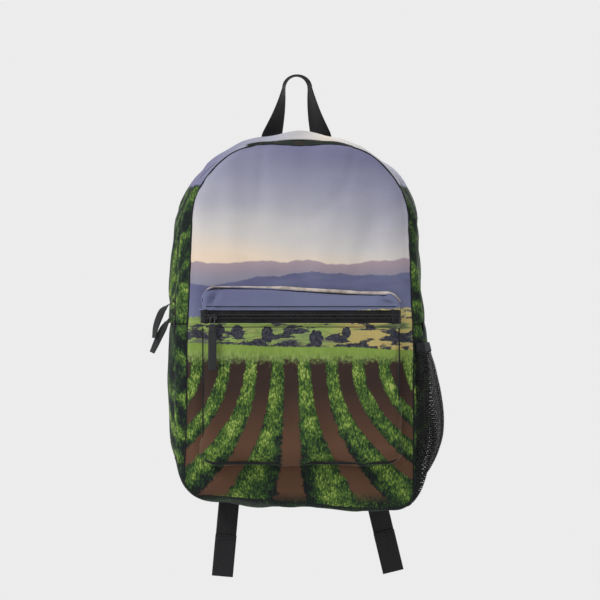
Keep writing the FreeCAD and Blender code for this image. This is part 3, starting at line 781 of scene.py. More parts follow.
def countryside(shader, x, z, fringe, picture):
    """Rolling fields with woods between them, then a hedge and a few lone trees in front."""
    patch = shader.noise(1.0, 2.0, vector=shader.scaled((17, 1, 95), (3.3, 0, 0)))
    fields = shader.ramp(patch, FIELD_STOPS)
    ripe = shader.times(shader.step(x, 0.02, 0.07), shader.step(patch, 0.36, 0.44))
    fields = shader.mix(ripe, fields, (214, 190, 118))
    grain = shader.noise(1.0, 3.0, vector=shader.scaled((180, 1, 420)))
    fields = shader.mix(shader.times(grain, 0.5), fields, (132, 140, 96))
    picture = shader.mix(shader.step(z, -0.2900, -0.2925), picture, fields)
    bush = shader.noise(1.0, 4.0, vector=shader.scaled((30, 1, 105), (7.1, 0, 2.7)), rough=0.62)
    bush = shader.madd(fringe, 0.10, bush)
    leafage = shader.mix(shader.step(fringe, 0.35, 0.65), (40, 42, 54), (74, 74, 84))
    woods = shader.times(shader.step(bush, 0.565, 0.59), shader.step(z, -0.2890, -0.2915))
    picture = shader.mix(woods, picture, leafage)
    wave = shader.noise(46.0, 3.0, vector=shader.vector(x, 0.0, 2.0))
    crown = shader.madd(wave, 0.026, shader.madd(fringe, 0.005, -0.3340))
    hedge = shader.times(shader.step(shader.minus(crown, z), 0.0, 0.001),
                        shader.step(shader.math("ABSOLUTE", shader.plus(x, 0.05)), 0.060, 0.040))
    picture = shader.mix(hedge, picture, leafage)
    ragged = shader.madd(fringe, 1.9, -0.95)
    for i in range(TREES):
        spot = (0.10 + i * GOLDEN) % 1
        size = 0.0052 + 0.0034 * ((0.4 + i * GOLDEN) % 1)
        shape = (0.24 * (spot - 0.5), -0.3060 - 0.010 * ((i * GOLDEN * 2) % 1), size, size * 1.25)
        picture = shader.mix(blob(shader, x, z, shape, ragged), picture, leafage)
    return picture


def crop_rows(shader, x, z, fringe, picture):
    """Hedged crop rows with bare soil between them, seen along the rows."""
    drop = shader.madd(z, -1 / 0.157, -0.3385 / 0.157)
    near = shader.math("MAXIMUM", drop, 0.0)
    curve = shader.math("POWER", near, 2.2)
    aside = shader.plus(x, 0.012)
    spread = shader.madd(curve, 0.058, 0.031)
    shake = shader.noise(90.0, 3.0, vector=shader.vector(x, 0.0, z))
    lane = shader.math("DIVIDE", aside, spread)
    lane = shader.plus(lane, shader.madd(shake, 0.16, -0.08))
    count = shader.math("ABSOLUTE", lane)
    share = shader.math("FRACT", count)
    path = shader.math("MINIMUM", share, shader.minus(1.0, share))
    half = shader.madd(shader.step(near, 0.0, 0.9), -0.10, 0.27)
    edge = shader.plus(half, shader.madd(fringe, 0.16, -0.08))
    hedge = shader.step(shader.minus(path, edge), -0.02, 0.03)
    hedge = shader.math("MAXIMUM", hedge, shader.step(near, 0.98, 1.10))
    inner = shader.times(shader.step(share, 0.52, 0.28), shader.step(near, 0.25, 0.8))
    tone = shader.madd(shader.step(path, 0.16, 0.4), 0.34, 0.52)
    tone = shader.madd(inner, -0.46, tone)
    foliage = leaf_colours(shader, tone)
    soil = shader.mix(shader.step(near, 0.7, 0.15), (98, 68, 50), (58, 42, 36))
    rows = shader.mix(hedge, soil, foliage)
    start = shader.plus(drop, shader.madd(fringe, 0.14, -0.07))
    return shader.mix(shader.step(start, -0.03, 0.05), picture, rows)


def cloth_finish(shader, colour, plane, sheen=0.03, rough=0.8):
    """Printed polyester: fine plain weave, slight sheen, faint unevenness from the dye."""
    grain = weave(shader, 0.9, plane)
    slub = shader.noise(900.0, 2.0, vector=shader.scaled((1, 1, 0.25)))
    height = shader.madd(slub, 0.9, grain)
    shade = shader.madd(shader.noise(35.0, 3.0), 0.10, 0.95)
    tone = shader.add("ShaderNodeHueSaturation", {"Color": colour, "Value": shade}).outputs[0]
    return shader.finish(tone, rough, height, 0.06, Sheen_Weight=sheen, Specular_IOR_Level=0.2)


def print_front():
    """Print of the front panel and the pocket."""
    shader = Shader("landscape_print")
    return cloth_finish(shader, landscape(shader), ("X", "Z"))


def print_gusset():
    """Gusset print: foliage down both sides, sky over the top, and painted shade in dark greens and browns
    over the front strip's top middle, where the recess by the zip lies in shadow.
    """
    shader = Shader("gusset_print")
    axes = shader.axes()
    x, y, z = axes["X"], axes["Y"], axes["Z"]
    slant = shader.madd(z, 24.0, shader.times(y, 40.0))
    slant = shader.plus(slant, shader.times(shader.noise(22.0, 3.0), 2.4))
    stripe = shader.math("ABSOLUTE", shader.minus(shader.math("FRACT", slant), 0.5))
    tone = shader.madd(shader.step(stripe, 0.42, 0.12), 0.55, 0.0)
    tone = shader.madd(shader.step(z, -0.16, -0.27), 0.24, tone)
    tone = shader.madd(shader.step(x, 0.05, 0.12), -0.06, tone)
    foliage = leaf_colours(shader, tone)
    sky_height = shader.math("ABSOLUTE", shader.madd(x, 5.5, -0.20))
    sky = sky_colours(shader, shader.plus(sky_height, 0.24), y)
    ragged = shader.madd(shader.noise(60.0, 3.0), 0.010, -0.005)
    height = shader.plus(z, ragged)
    colour = shader.mix(shader.step(height, -0.138, -0.134), foliage, sky)
    # Painted shade: the front strip's top middle, in the recess by the zip, is painted in dark greens and
    # browns as if in shadow.
    recess = shader.times(shader.step(y, -0.083, -0.086), shader.step(z, -0.104, -0.099))
    recess = shader.times(recess, shader.step(shader.math("ABSOLUTE", x), 0.066, 0.060))
    recess_shade_colour = shader.mix(shader.step(shader.noise(50.0, 3.0), 0.42, 0.5), (44, 36, 30), (20, 34, 26))
    return cloth_finish(shader, shader.mix(recess, colour, recess_shade_colour), ("Y", "Z"))


def print_side():
    """Side print: foliage, darker at the top."""
    shader = Shader("side_print")
    axes = shader.axes()
    slant = shader.madd(axes["Z"], 24.0, shader.times(axes["Y"], -30.0))
    slant = shader.plus(slant, shader.times(shader.noise(30.0, 2.0), 1.4))
    stripe = shader.math("ABSOLUTE", shader.minus(shader.math("FRACT", slant), 0.5))
    low = shader.step(axes["Z"], -0.335, -0.385)
    tone = shader.madd(shader.step(stripe, 0.42, 0.1), 0.75, -0.22)
    tone = shader.plus(tone, shader.times(low, 0.3))
    foliage = leaf_colours(shader, tone)
    return cloth_finish(shader, foliage, ("Y", "Z"))


def print_bottom():
    """Bottom print: dark foliage."""
    shader = Shader("bottom_print")
    return cloth_finish(shader, leaf_colours(shader, 0.1), ("X", "Y"))


def plain_cloth(name, colour, pitch=0.9, plane=("X", "Z"), rough=0.85, depth=0.06):
    """Plain woven cloth, darker where it is worn."""
    shader = Shader(name)
    worn = shader.noise(60.0, 4.0)
    darker = [c * 0.72 for c in colour]
    tone = shader.mix(shader.step(worn, 0.35, 0.65), darker, colour)
    grain = weave(shader, pitch, plane)
    height = shader.madd(shader.noise(800.0, 2.0), 0.7, grain)
    return shader.finish(tone, rough, height, depth, Sheen_Weight=0.03, Specular_IOR_Level=0.2)


def webbing_cloth(name, colour=(30, 30, 32)):
    """Woven webbing: fine chevron ribs along the strap, with fuzz, and a painted highlight that makes the
    high points paler.
    """
    shader = Shader(name)
    axes = shader.axes()
    across = shader.times(axes["X"], 2 * math.pi / (2.4 * MM))
    zigzag = shader.math("PINGPONG", shader.math("ABSOLUTE", axes["X"]), 1.2 * MM)
    along = shader.madd(zigzag, 1.0, axes["Z"])
    ribs = shader.math("SINE", shader.times(along, 2 * math.pi / (1.1 * MM)))
    height = shader.madd(shader.math("SINE", across), 0.4, ribs)
    fuzz = shader.noise(700.0, 3.0)
    height = shader.madd(fuzz, 0.8, height)
    # Painted highlight: the rib tops are painted paler, as if catching light.
    light = shader.step(height, 0.2, 1.8)
    tone = shader.mix(light, colour, [c * 1.75 + 4 for c in colour])
    return shader.finish(tone, 0.82, height, 0.12, Sheen_Weight=0.04, Specular_IOR_Level=0.25)


def spacer_mesh(name, colour):
    """Padded air mesh: a knit with small round holes over foam, with painted shade darkening the holes."""
    shader = Shader(name)
    holes = shader.cells(330.0, vector=shader.scaled((1, 1, 0.8)))
    dip = shader.step(holes, 0.15, 0.5)
    # Painted shade: the holes are painted at about a third of the knit's brightness, as if in shadow.
    tone = shader.mix(dip, [c * 0.35 for c in colour], colour)
    height = shader.madd(shader.noise(900.0, 2.0), 0.25, dip)
    return shader.finish(tone, 0.9, height, 0.35, Sheen_Weight=0.04, Specular_IOR_Level=0.2)


def open_mesh():
    """Knitted pocket mesh with real openings between its threads."""
    shader = Shader("pocket_mesh")
    axes = shader.axes()
    pitch = 2.6 * MM
    around = shader.minus(axes["X"], axes["Y"])
    column = shader.math("DIVIDE", around, pitch)
    row = shader.math("DIVIDE", axes["Z"], pitch * 0.9)
    odd = shader.times(shader.math("FLOORED_MODULO", shader.math("FLOOR", row), 2.0), 0.5)
    u = shader.minus(shader.math("FRACT", shader.plus(column, odd)), 0.5)
    v = shader.minus(shader.math("FRACT", row), 0.5)
    reach = shader.math("SQRT", shader.plus(shader.times(u, u), shader.times(v, v)))
    thread = shader.step(reach, 0.27, 0.36)
    tone = shader.mix(shader.noise(500.0, 2.0), (12, 12, 14), (44, 44, 46))
    return shader.finish(tone, 0.8, shader.noise(900.0, 2.0), 0.15, Alpha=thread, Specular_IOR_Level=0.2)


def moulded(name, colour, rough=0.42):
    """Moulded plastic with a fine grain and worn, paler places."""
    shader = Shader(name)
    grain = shader.noise(1400.0, 3.0)
    rubbed = shader.step(shader.noise(90.0, 4.0), 0.55, 0.75)
    worn = shader.mix(rubbed, colour, [c * 1.35 + 3 for c in colour])
    gloss = shader.madd(grain, 0.2, rough)
    return shader.finish(worn, gloss, grain, 0.04)


def metal(name, colour, rough=0.35):
    """Enamelled zinc, rubbed brighter in places."""
    shader = Shader(name)
    rub = shader.step(shader.noise(260.0, 4.0), 0.5, 0.72)
    tone = shader.mix(rub, colour, [min(255, c * 1.5 + 14) for c in colour])
    gloss = shader.madd(shader.noise(700.0, 3.0), 0.25, rough - 0.1)
    return shader.finish(tone, gloss, shader.noise(900.0, 2.0), 0.02, Metallic=0.85)


PRINT = print_front()
GUSSET = print_gusset()
SIDE = print_side()
BOTTOM = print_bottom()
LINING = plain_cloth("lining", (40, 41, 46), rough=0.85)
PIPE = plain_cloth("piping", (34, 36, 40), pitch=0.7, depth=0.05)
TAPE = plain_cloth("zip_tape", (40, 39, 43), pitch=0.8, depth=0.09, rough=0.82)
THREAD = plain_cloth("thread", (26, 27, 32), pitch=0.4, depth=0.03)
PALE_EDGE = plain_cloth("rolled_edge", (222, 208, 198), pitch=0.9)
ELASTIC = plain_cloth("elastic", (52, 54, 60), pitch=1.1, plane=("Y", "Z"), depth=0.12)
WEBBING = webbing_cloth("webbing")
RIBBON = webbing_cloth("ribbon", (40, 41, 42))
AIR_MESH = spacer_mesh("air_mesh", (44, 44, 47))
STRAP_MESH = spacer_mesh("strap_mesh", (38, 38, 41))
NET = open_mesh()
COIL = moulded("zip_coil", (34, 34, 37), 0.4)
BUCKLE = moulded("buckle", (28, 28, 30), 0.42)
SLIDER = metal("slider_enamel", (46, 46, 48))
PULLER = metal("puller_metal", (84, 84, 88), 0.3)


# ---------------------------------------------------------------------------------------------
# The bag's shell
# ---------------------------------------------------------------------------------------------

def shell_wrinkles(grid, edge_fall, seed, size=55.0, amount=1.2):
    """Soft waves on a panel that fade out at its sewn edges."""
    waves = ripple(grid, size, (1, 1, 0.7), seed, 2) * amount
    folds = crease(grid, size * 1.6, (1, 1, 0.6), seed + 9) * amount * 0.8
    return 1.5 * (waves - folds) * edge_fall


def raised(grid, lift, closed=False):
    """A grid of points moved off its surface by lift."""
    return grid + normals(grid, closed) * lift[..., None]


def fall_across(count, width=0.16):
    """0 at both edges of a strip and 1 inside it."""
    share = np.linspace(0, 1, count)
    return np.clip(np.minimum(share, 1 - share) / width, 0, 1) ** 0.7


def pucker(grid, columns, seed):
    """Short gathers at right angles to the two sewn edges of a strip."""
    share = np.linspace(0, 1, columns)
    near = bump(share, 0.14) + bump(1 - share, 0.14)
    return 0.35 * ripple(grid[:, :1], 9.0, (1, 0, 1), seed) * near


def rear_gusset():
    """The wide strip behind the zip, over the arch."""
    grid = strip_of_body(over_arch, 0.0, ZIP_Y + ZIP_SLOT, 26)
    fall = fall_across(26)
    lift = shell_wrinkles(grid, fall, 3.0, 48.0, 1.5) + 1.0 * fall + pucker(grid, 26, 5.0)
    obj = cloth("rear_gusset_cloth", raised(grid, lift), [GUSSET, LINING])
    finish_piece(obj, "bag", "printed_fabric", "rear_gusset")


def finish_piece(obj, body, slot, *nodes):
    """Hides the CAD nodes a piece replaces and hangs it on its body; the body "fold" only bakes its
    placement. The slot is not used.
    """
    if nodes:
        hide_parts(*nodes)
    if body == "fold":
        return bend_at_fold(obj)
    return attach(obj, body)


def front_gusset():
    """The narrow strip in front of the zip, over the arch."""
    grid = strip_of_body(over_arch, ZIP_Y - ZIP_SLOT, FRONT_Y, 12)
    fall = fall_across(12, 0.3)
    recess = 3.5 * bump(grid[..., 0], 80.0) * ease(grid[..., 2], -125, -100) * fall
    lift = shell_wrinkles(grid, fall, 13.0, 40.0, 0.9) + 0.9 * fall + pucker(grid, 12, 7.0) - recess
    obj = cloth("front_gusset_cloth", raised(grid, lift), [GUSSET, LINING])
    finish_piece(obj, "fold", "printed_fabric", "flap_gusset", "front_gusset_left", "front_gusset_right")


def side_panels():
    """The side panels between the zip's ends and the bottom seam."""
    for side, sign in SIDES.items():
        grid = strip_of_body(up_side, 0.0, FRONT_Y, 40, sign)
        fall = fall_across(40, 0.08)
        seam = bump(grid[..., 2] - ZIP_END_Z, 5.0) + bump(grid[..., 2] - BOTTOM_SEAM_Z, 5.0)
        lift = shell_wrinkles(grid, fall, 21.0 + sign, 60.0, 1.6) + 1.2 * fall - 1.1 * seam
        lift -= 2.4 * bump(grid[..., 2] + 318, 45.0) * bump(grid[..., 1] + 78, 34.0)
        obj = cloth(f"side_cloth_{side}", raised(grid, lift), [SIDE, LINING])
        finish_piece(obj, "bag", "printed_fabric", f"side_panel_{side}")


def bottom_panel():
    """The bottom, from seam to seam round the foot."""
    grid = strip_of_body(round_foot, 0.0, FRONT_Y, 36)
    fall = fall_across(36, 0.08)
    lift = shell_wrinkles(grid, fall, 31.0, 60.0, 1.4) + 0.8 * fall
    obj = cloth("bottom_cloth", raised(grid, lift), [BOTTOM, LINING])
    finish_piece(obj, "bag", "printed_fabric", "bottom_panel")


def front_panel():
    """One crowned sheet, seam to seam."""
    grid = settled(dome(FRONT, whole_arch, PANEL_RINGS))
    x, z = grid[..., 0], grid[..., 2]
    rim = np.clip(np.linspace(0, 1, PANEL_RINGS) / 0.10, 0, 1)
    waves = ripple(grid, 80.0, (1.6, 1, 0.5), 41.0, 2) * 2.4
    drape = ripple(grid, 30.0, (1.0, 1, 0.14), 47.0) * 1.3 * np.clip((z + 245) / 110, 0, 1)
    folds = crease(grid, 120.0, (1.2, 1, 0.7), 52.0) * 1.4
    sink = 2.0 * bump(z + 244, 9.0) * bump(x, 130.0)
    gather = 0.4 * ripple(grid[:, :1], 8.0, (1, 0, 1), 55.0) * bump(np.linspace(0, 1, PANEL_RINGS), 0.05)
    lift = (waves + drape - folds) * rim - sink * rim + gather
    obj = cloth("front_panel_cloth", raised(grid, lift, True), [PRINT, LINING],
                closed=True, cap=True)
    finish_piece(obj, "fold", "printed_fabric", "flap_panel", "front_panel")


def piping():
    """Bound seams round the front and the back of the bag."""
    front = whole_arch(FRONT_SEAM)
    path = settled(np.stack([front[:, 0] * 1.004, np.full(len(front), FRONT_Y + 0.6), front[:, 1]], 1))
    obj = swept("front_piping_cord", path, (0, 1, 0), round_profile(1.0, 8), PIPE, closed=True)
    finish_piece(obj, "fold", "piping_fabric", "flap_piping", "front_piping")
    back = whole_arch(BODY[0])
    path = np.stack([back[:, 0] * 1.006, np.full(len(back), -0.6), back[:, 1]], 1)
    path[:, 2] = np.where(path[:, 2] > -300, path[:, 2] + 0.6, path[:, 2] - 0.6)
    path = settled(path)
    obj = swept("back_piping_cord", path, (0, 1, 0), round_profile(1.6, 10), PIPE, closed=True)
    finish_piece(obj, "bag", "piping_fabric", "back_piping")


# ---------------------------------------------------------------------------------------------
# Main zip
# ---------------------------------------------------------------------------------------------

def zip_path(y, inset):
    """Line round the gusset at y, moved in from the bag's wall."""
    grid = settled(at_depth(over_arch(section(BODY, 0, y)), y))
    tangent, _, off = frames_along(grid, (0, 1, 0))
    if np.sum(off * (grid - BAG_CENTRE)) < 0:
        off = -off
    return grid - off * inset, tangent, off


def main_zip():
    """Tapes and teeth of the zip round the gusset."""
    halves = {"rear": (1.0, "bag", ("zip_tape_rear",), ("zip_coil_rear",)),
              "front": (-1.0, "fold", ("zip_tape_flap", "zip_tape_front_ends"),
                        ("zip_coil_flap", "zip_coil_front_ends"))}
    for name, (sign, body, tape_nodes, coil_nodes) in halves.items():
        columns = [zip_path(ZIP_Y + sign * step, 2.2)[0] for step in np.linspace(0.6, 13.0, 6)]
        obj = cloth(f"zip_tape_{name}_cloth", np.stack(columns, 1), [TAPE, TAPE], thickness=0.7)
        finish_piece(obj, body, "zip_tape", *tape_nodes)
        centres = resample(zip_path(ZIP_Y + sign * 1.7, 0.5)[0], TOOTH_PITCH)
        if sign < 0:
            centres = (centres[:-1] + centres[1:]) / 2
        tangent, across, _ = frames_along(centres, (0, 1, 0))
        obj = beads(f"zip_coil_{name}_teeth", centres, across, tangent, TOOTH, COIL)
        finish_piece(obj, body, "zip_coil", *coil_nodes)


def fold_back_hems():
    """Turned edges of the gusset strips along the zip, with their topstitching."""
    for name, sign, body in (("rear", 1.0, "bag"), ("front", -1.0, "fold")):
        edge = zip_path(ZIP_Y + sign * ZIP_SLOT, 0.3)[0]
        obj = swept(f"zip_hem_{name}", edge, (0, 1, 0), round_profile(1.0, 8), GUSSET, printed=True)
        finish_piece(obj, body, "printed_fabric")
        seam = zip_path(ZIP_Y + sign * (ZIP_SLOT + 2.6), -1.2)[0]
        obj = stitch_line(f"zip_stitches_{name}", seam, (0, 1, 0), THREAD)
        finish_piece(obj, body, "piping_fabric")


def plate_solid(length, width, thickness, taper, centre_up):
    """Bevelled metal plate in a slider's frame: x along the zip, y across, z off the cloth."""
    outline = [(-0.5, 0.42), (-0.34, 0.5), (0.05, 0.5 * (1 - taper / 2)), (0.36, 0.5 * (1 - taper)),
               (0.5, 0.34 * (1 - taper))]
    outline = outline + [(x, -y) for x, y in outline[::-1]]
    levels = [(-0.5, 0.88), (-0.25, 1.0), (0.25, 1.0), (0.5, 0.86)]
    points = [(x * length * s, y * width * s, centre_up + t * thickness)
              for t, s in levels for x, y in outline]
    count = len(outline)
    faces = [tuple(range(count))[::-1], tuple(3 * count + k for k in range(count))]
    for i in range(3):
        for k in range(count):
            n = (k + 1) % count
            faces.append((i * count + k, i * count + n, (i + 1) * count + n, (i + 1) * count + k))
    return np.array(points, float), faces


def slider_piece(name, origin, axes, bail_across):
    """Zip slider: two tapered plates, the bridge between them and a wire bail."""
    parts = [plate_solid(11.0, 8.6, 1.5, 0.3, 1.1), plate_solid(11.0, 8.6, 1.2, 0.3, -4.0),
             plate_solid(3.6, 0.6, 5.0, 0.0, -1.4)]
    frame_axes = np.array(axes)
    objects = []
    for points, faces in parts:
        objects.append(add_mesh("part", np.array(origin) + points @ frame_axes, faces, [SLIDER]))
    turn = np.linspace(0, math.pi, 14)
    arch = np.stack([3.0 * np.cos(turn), 0 * turn, 1.4 + 3.0 * np.sin(turn)], 1)
    if bail_across:
        arch = arch[:, [1, 0, 2]]
    side = axes[0] if bail_across else axes[1]
    objects.append(swept("bail", np.array(origin) + arch @ frame_axes, side, round_profile(0.62, 8), SLIDER))
    for obj in objects:
        tidy_normals(obj)
    obj = joined(name + "_detailed", objects)
    finish_piece(obj, name, "slider_metal", name)


def unit(v):
    """v at length 1."""
    v = np.array(v, float)
    return v / np.linalg.norm(v)


def main_slider_axes():
    """Down the wall, across the zip and off the wall, on the bag's left side."""
    joint = next(j for j in frame["joints"] if j["name"] == "main_zip_upper_slide")
    down = -unit(joint["axis"])
    out = unit((down[2], 0, -down[0]))
    return down, np.cross(out, down), out


def pull_frame(joint_name, along):
    """Pivot of a pull with its hinge axis, the direction it hangs in and the one off its face."""
    joint = next(j for j in frame["joints"] if j["name"] == joint_name)
    axis = unit(joint["axis"])
    along = unit(along - axis * np.dot(along, axis))
    return np.array(joint["pos_m"]) / MM, axis, along, np.cross(along, axis)


def leaning(down, out, degrees):
    """The direction of a pull that leans off the cloth."""
    turn = math.radians(degrees)
    return down * math.cos(turn) + out * math.sin(turn)


def pull_piece(name, puller_node, ribbon_node, pivot, axis, along, off, path, twist, width):
    """Metal puller on a slider's bail with a folded ribbon sewn through it."""
    def at(x, z):
        return pivot + along * x + off * z

    loop_turn = np.linspace(0, 2 * math.pi, 28, endpoint=False)
    loop = [at(4.4 + 4.6 * math.cos(t), 0) + axis * 2.7 * math.sin(t) for t in loop_turn]
    ring = swept(puller_node + "_ring", loop, off, round_profile(0.62, 8), PULLER, closed=True)
    plate_at = [at(x, 0) for x in np.linspace(8.4, 13.5, 6)]
    plate = swept("plate", plate_at, axis, tape_profile(5.2, 1.3, 8), PULLER)
    puller = joined(puller_node + "_detailed", [ring, plate])
    finish_piece(puller, name, "slider_metal", puller_node)

    knots = [p[0] for p in path]
    run = np.linspace(knots[0], knots[-1], 48)
    lift = through(knots, [p[1] for p in path], run)
    centres = np.array([at(x, z) for x, z in zip(run, lift)])
    turns = np.radians(through([0, 0.4, 1], twist, (run - run[0]) / (run[-1] - run[0])))
    tangent = directions(centres)
    level = np.broadcast_to(axis, tangent.shape)
    upward = np.cross(level, tangent)
    side = level * np.cos(turns)[:, None] + upward * np.sin(turns)[:, None]
    share = (run - run[0]) / (run[-1] - run[0])
    widths = width * (1.0 - 0.18 * bump(share - 0.02, 0.12))
    thick = 1.9 + 0.7 * bump(share - 0.14, 0.03) + 0.4 * bump(share - 0.97, 0.05)
    profile = np.stack([tape_profile(w, t, 10, 0.05) for w, t in zip(widths, thick)])
    ribbon = swept(ribbon_node + "_woven", centres, side, profile, RIBBON)
    bar = np.array([centres[7] + side[7] * s * width * 0.42 + np.cross(side[7], tangent[7]) * 1.35
                    for s in (-1, 1)])
    seam = stitch_line("seam", bar, tangent[7], THREAD, 1.6, 1.3, 0.5)
    ribbon = joined(ribbon_node + "_woven", [ribbon, seam])
    finish_piece(ribbon, name, "webbing", ribbon_node)


def sliders_and_pulls():
    """The three sliders, each with its puller and ribbon."""
    down, across, out = main_slider_axes()
    paths = {"upper": ([(9.6, 0.0), (18.0, -1.0), (28.0, -6.0), (38.0, -13.0), (46.0, -21.0)],
                       (0, 70, 30), 50.0),
             "lower": ([(9.6, 0.0), (20.0, -0.5), (32.0, -2.0), (43.0, -4.0), (54.0, -6.0)],
                       (0, 75, 40), 32.0)}
    for name, (path, twist, lean) in paths.items():
        pivot, axis, along, off = pull_frame(f"main_pull_{name}_swing", leaning(down, out, lean))
        origin = pivot - out * BAIL_LIFT
        slider_piece(f"main_slider_{name}", origin, (down, across, out), False)
        if np.dot(off, out) < 0:
            off = -off
        pull_piece(f"main_pull_{name}", f"main_puller_{name}", f"main_ribbon_{name}", pivot, axis,
                   along, off, path, twist, 8.5)
    pivot, axis, along, off = pull_frame("pocket_pull_swing", leaning(np.array((0, 0, -1.0)),
                                                                      np.array((0, -1.0, 0)), 4.0))
    right, up, front = np.eye(3)[0], np.eye(3)[2], -np.eye(3)[1]
    slider_piece("pocket_slider", pivot - front * BAIL_LIFT, (-right, -up, front), True)
    if np.dot(off, front) < 0:
        off = -off
    pull_piece("pocket_pull", "pocket_puller", "pocket_ribbon", pivot, axis, along, off,
               [(9.6, 0.0), (22.0, 0.2), (35.0, 0.0), (48.0, -0.5), (62.0, -0.8)], (0, 4, 12), 9.6)


def zip_end_tabs():
    """Cloth tabs sewn over the ends of the main zip."""
    for side, sign in SIDES.items():
        columns = []
        for y in np.linspace(ZIP_Y - 12, ZIP_Y + 12, 10):
            points = up_side(section(BODY, 0, y), sign)
            z = np.linspace(ZIP_END_Z - 9, ZIP_END_Z + 3, 8)
            order = np.argsort(points[:, 1])
            x = np.interp(z, points[order, 1], points[order, 0]) + sign * 2.0
            columns.append(settled(np.stack([x, np.full(8, y), z], 1)))
        obj = cloth(f"zip_end_tab_{side}", np.stack(columns, 1), [TAPE, TAPE], thickness=0.9)
        finish_piece(obj, "bag", "zip_tape", *(("zip_end_tabs",) if side == "left" else ()))


# ---------------------------------------------------------------------------------------------
# Front pocket
# ---------------------------------------------------------------------------------------------

def pocket_surface():
    """The pocket's puffed front and sides, with its folds."""
    grid = dome(POCKET, round_box, 34)
    x, z = grid[..., 0], grid[..., 2]
    ring = np.linspace(0, 1, 34)
    inside = np.clip((ring - 0.12) / 0.2, 0, 1)
    waves = ripple(grid, 52.0, (1.1, 1, 0.6), 61.0, 2) * 3.0
    corner = bump(np.abs(x) - 104, 16.0) * bump(z + 272, 18.0)
    end_folds = ripple(grid, 14.0, (1.2, 1, 0.45), 66.0) * 3.4 * corner
    low = bump(x - 95, 34.0) * bump(z + 440, 26.0)
    low_folds = crease(grid, 44.0, (1.2, 1, 0.7), 69.0) * 2.6 * low
    across = crease(grid, 75.0, (0.5, 1, 1.6), 72.0) * 2.0 * bump(z + 400, 80.0)
    tuck = 3.2 * bump(x + 40 + 0.18 * (z + 470), 3.0) * ease(-z, 452, 466)
    hooks = 4.5 * bump(np.abs(x) - 99 + 0.55 * (z + 262), 4.5) * bump(z + 268, 10.0)
    calm = (0.25 + 0.75 * ease(-z, 264, 300)) * (1 - 0.95 * bump(z + 285, 22.0))
    calm *= 1 - 0.9 * bump(x + 104, 26.0) * bump(z + 318, 50.0)
    lift = (waves - across) * calm * inside + end_folds - low_folds - tuck - hooks
    sag = 3.6 * bump(z + 445, 13.0) * inside - 2.6 * bump(x + 104, 24.0) * bump(z + 322, 40.0)
    return slanted(raised(grid, lift + sag, True))


def slanted(points):
    """The pocket's upper edge runs down towards the right."""
    moved = points.copy()
    moved[..., 2] -= 8.5 * ease(points[..., 0], -90, 115) * ease(points[..., 2], -279, -258)
    return moved


def cut_at(obj, height, keep_above):
    """Cuts an open layer along a level line and drops one side of it."""
    work = bmesh.new()
    work.from_mesh(obj.data)
    bmesh.ops.bisect_plane(work, geom=work.verts[:] + work.edges[:] + work.faces[:],
                           plane_co=(0, 0, height * MM), plane_no=(0, 0, 1),
                           clear_inner=keep_above, clear_outer=not keep_above)
    work.to_mesh(obj.data)
    work.free()


def front_pocket():
    """The pocket's cloth, above and below its zip."""
    grid = pocket_surface()
    pieces = (("pocket_top_cloth", POCKET_ZIP_Z + POCKET_SLOT, True, "pocket_top", (0.255, 0.043)),
              ("pocket_face_cloth", POCKET_ZIP_Z - POCKET_SLOT, False, "pocket_face", (0.262, 0.193)))
    for name, height, keep_above, node, flat in pieces:
        obj = cloth(name, grid, [PRINT, LINING], closed=True, cap=not keep_above)
        cut_at(obj, height, keep_above)
        finish_piece(obj, "bag", "printed_fabric", node)


@functools.lru_cache
def pocket_tree():
    """The pocket's own surface, for laying tape and stitches on it."""
    grid = pocket_surface()
    faces = grid_faces(*grid.shape[:2], closed=True)
    return BVHTree.FromPolygons(grid.reshape(-1, 3).tolist(), [list(face) for face in faces])


def pocket_line(z, half, lift, count=160):
    """Level line across the pocket's front at height z."""
    x = np.linspace(-half, half, count)
    y = []
    for across in x:
        hit = pocket_tree().ray_cast((across, -300, z), (0, 1, 0))[0]
        y.append(hit[1] if hit else -112.0)
    smooth = np.convolve(np.pad(y, 4, mode="edge"), np.ones(9) / 9, mode="valid")
    return np.stack([x, smooth - lift, np.full(count, z)], 1)


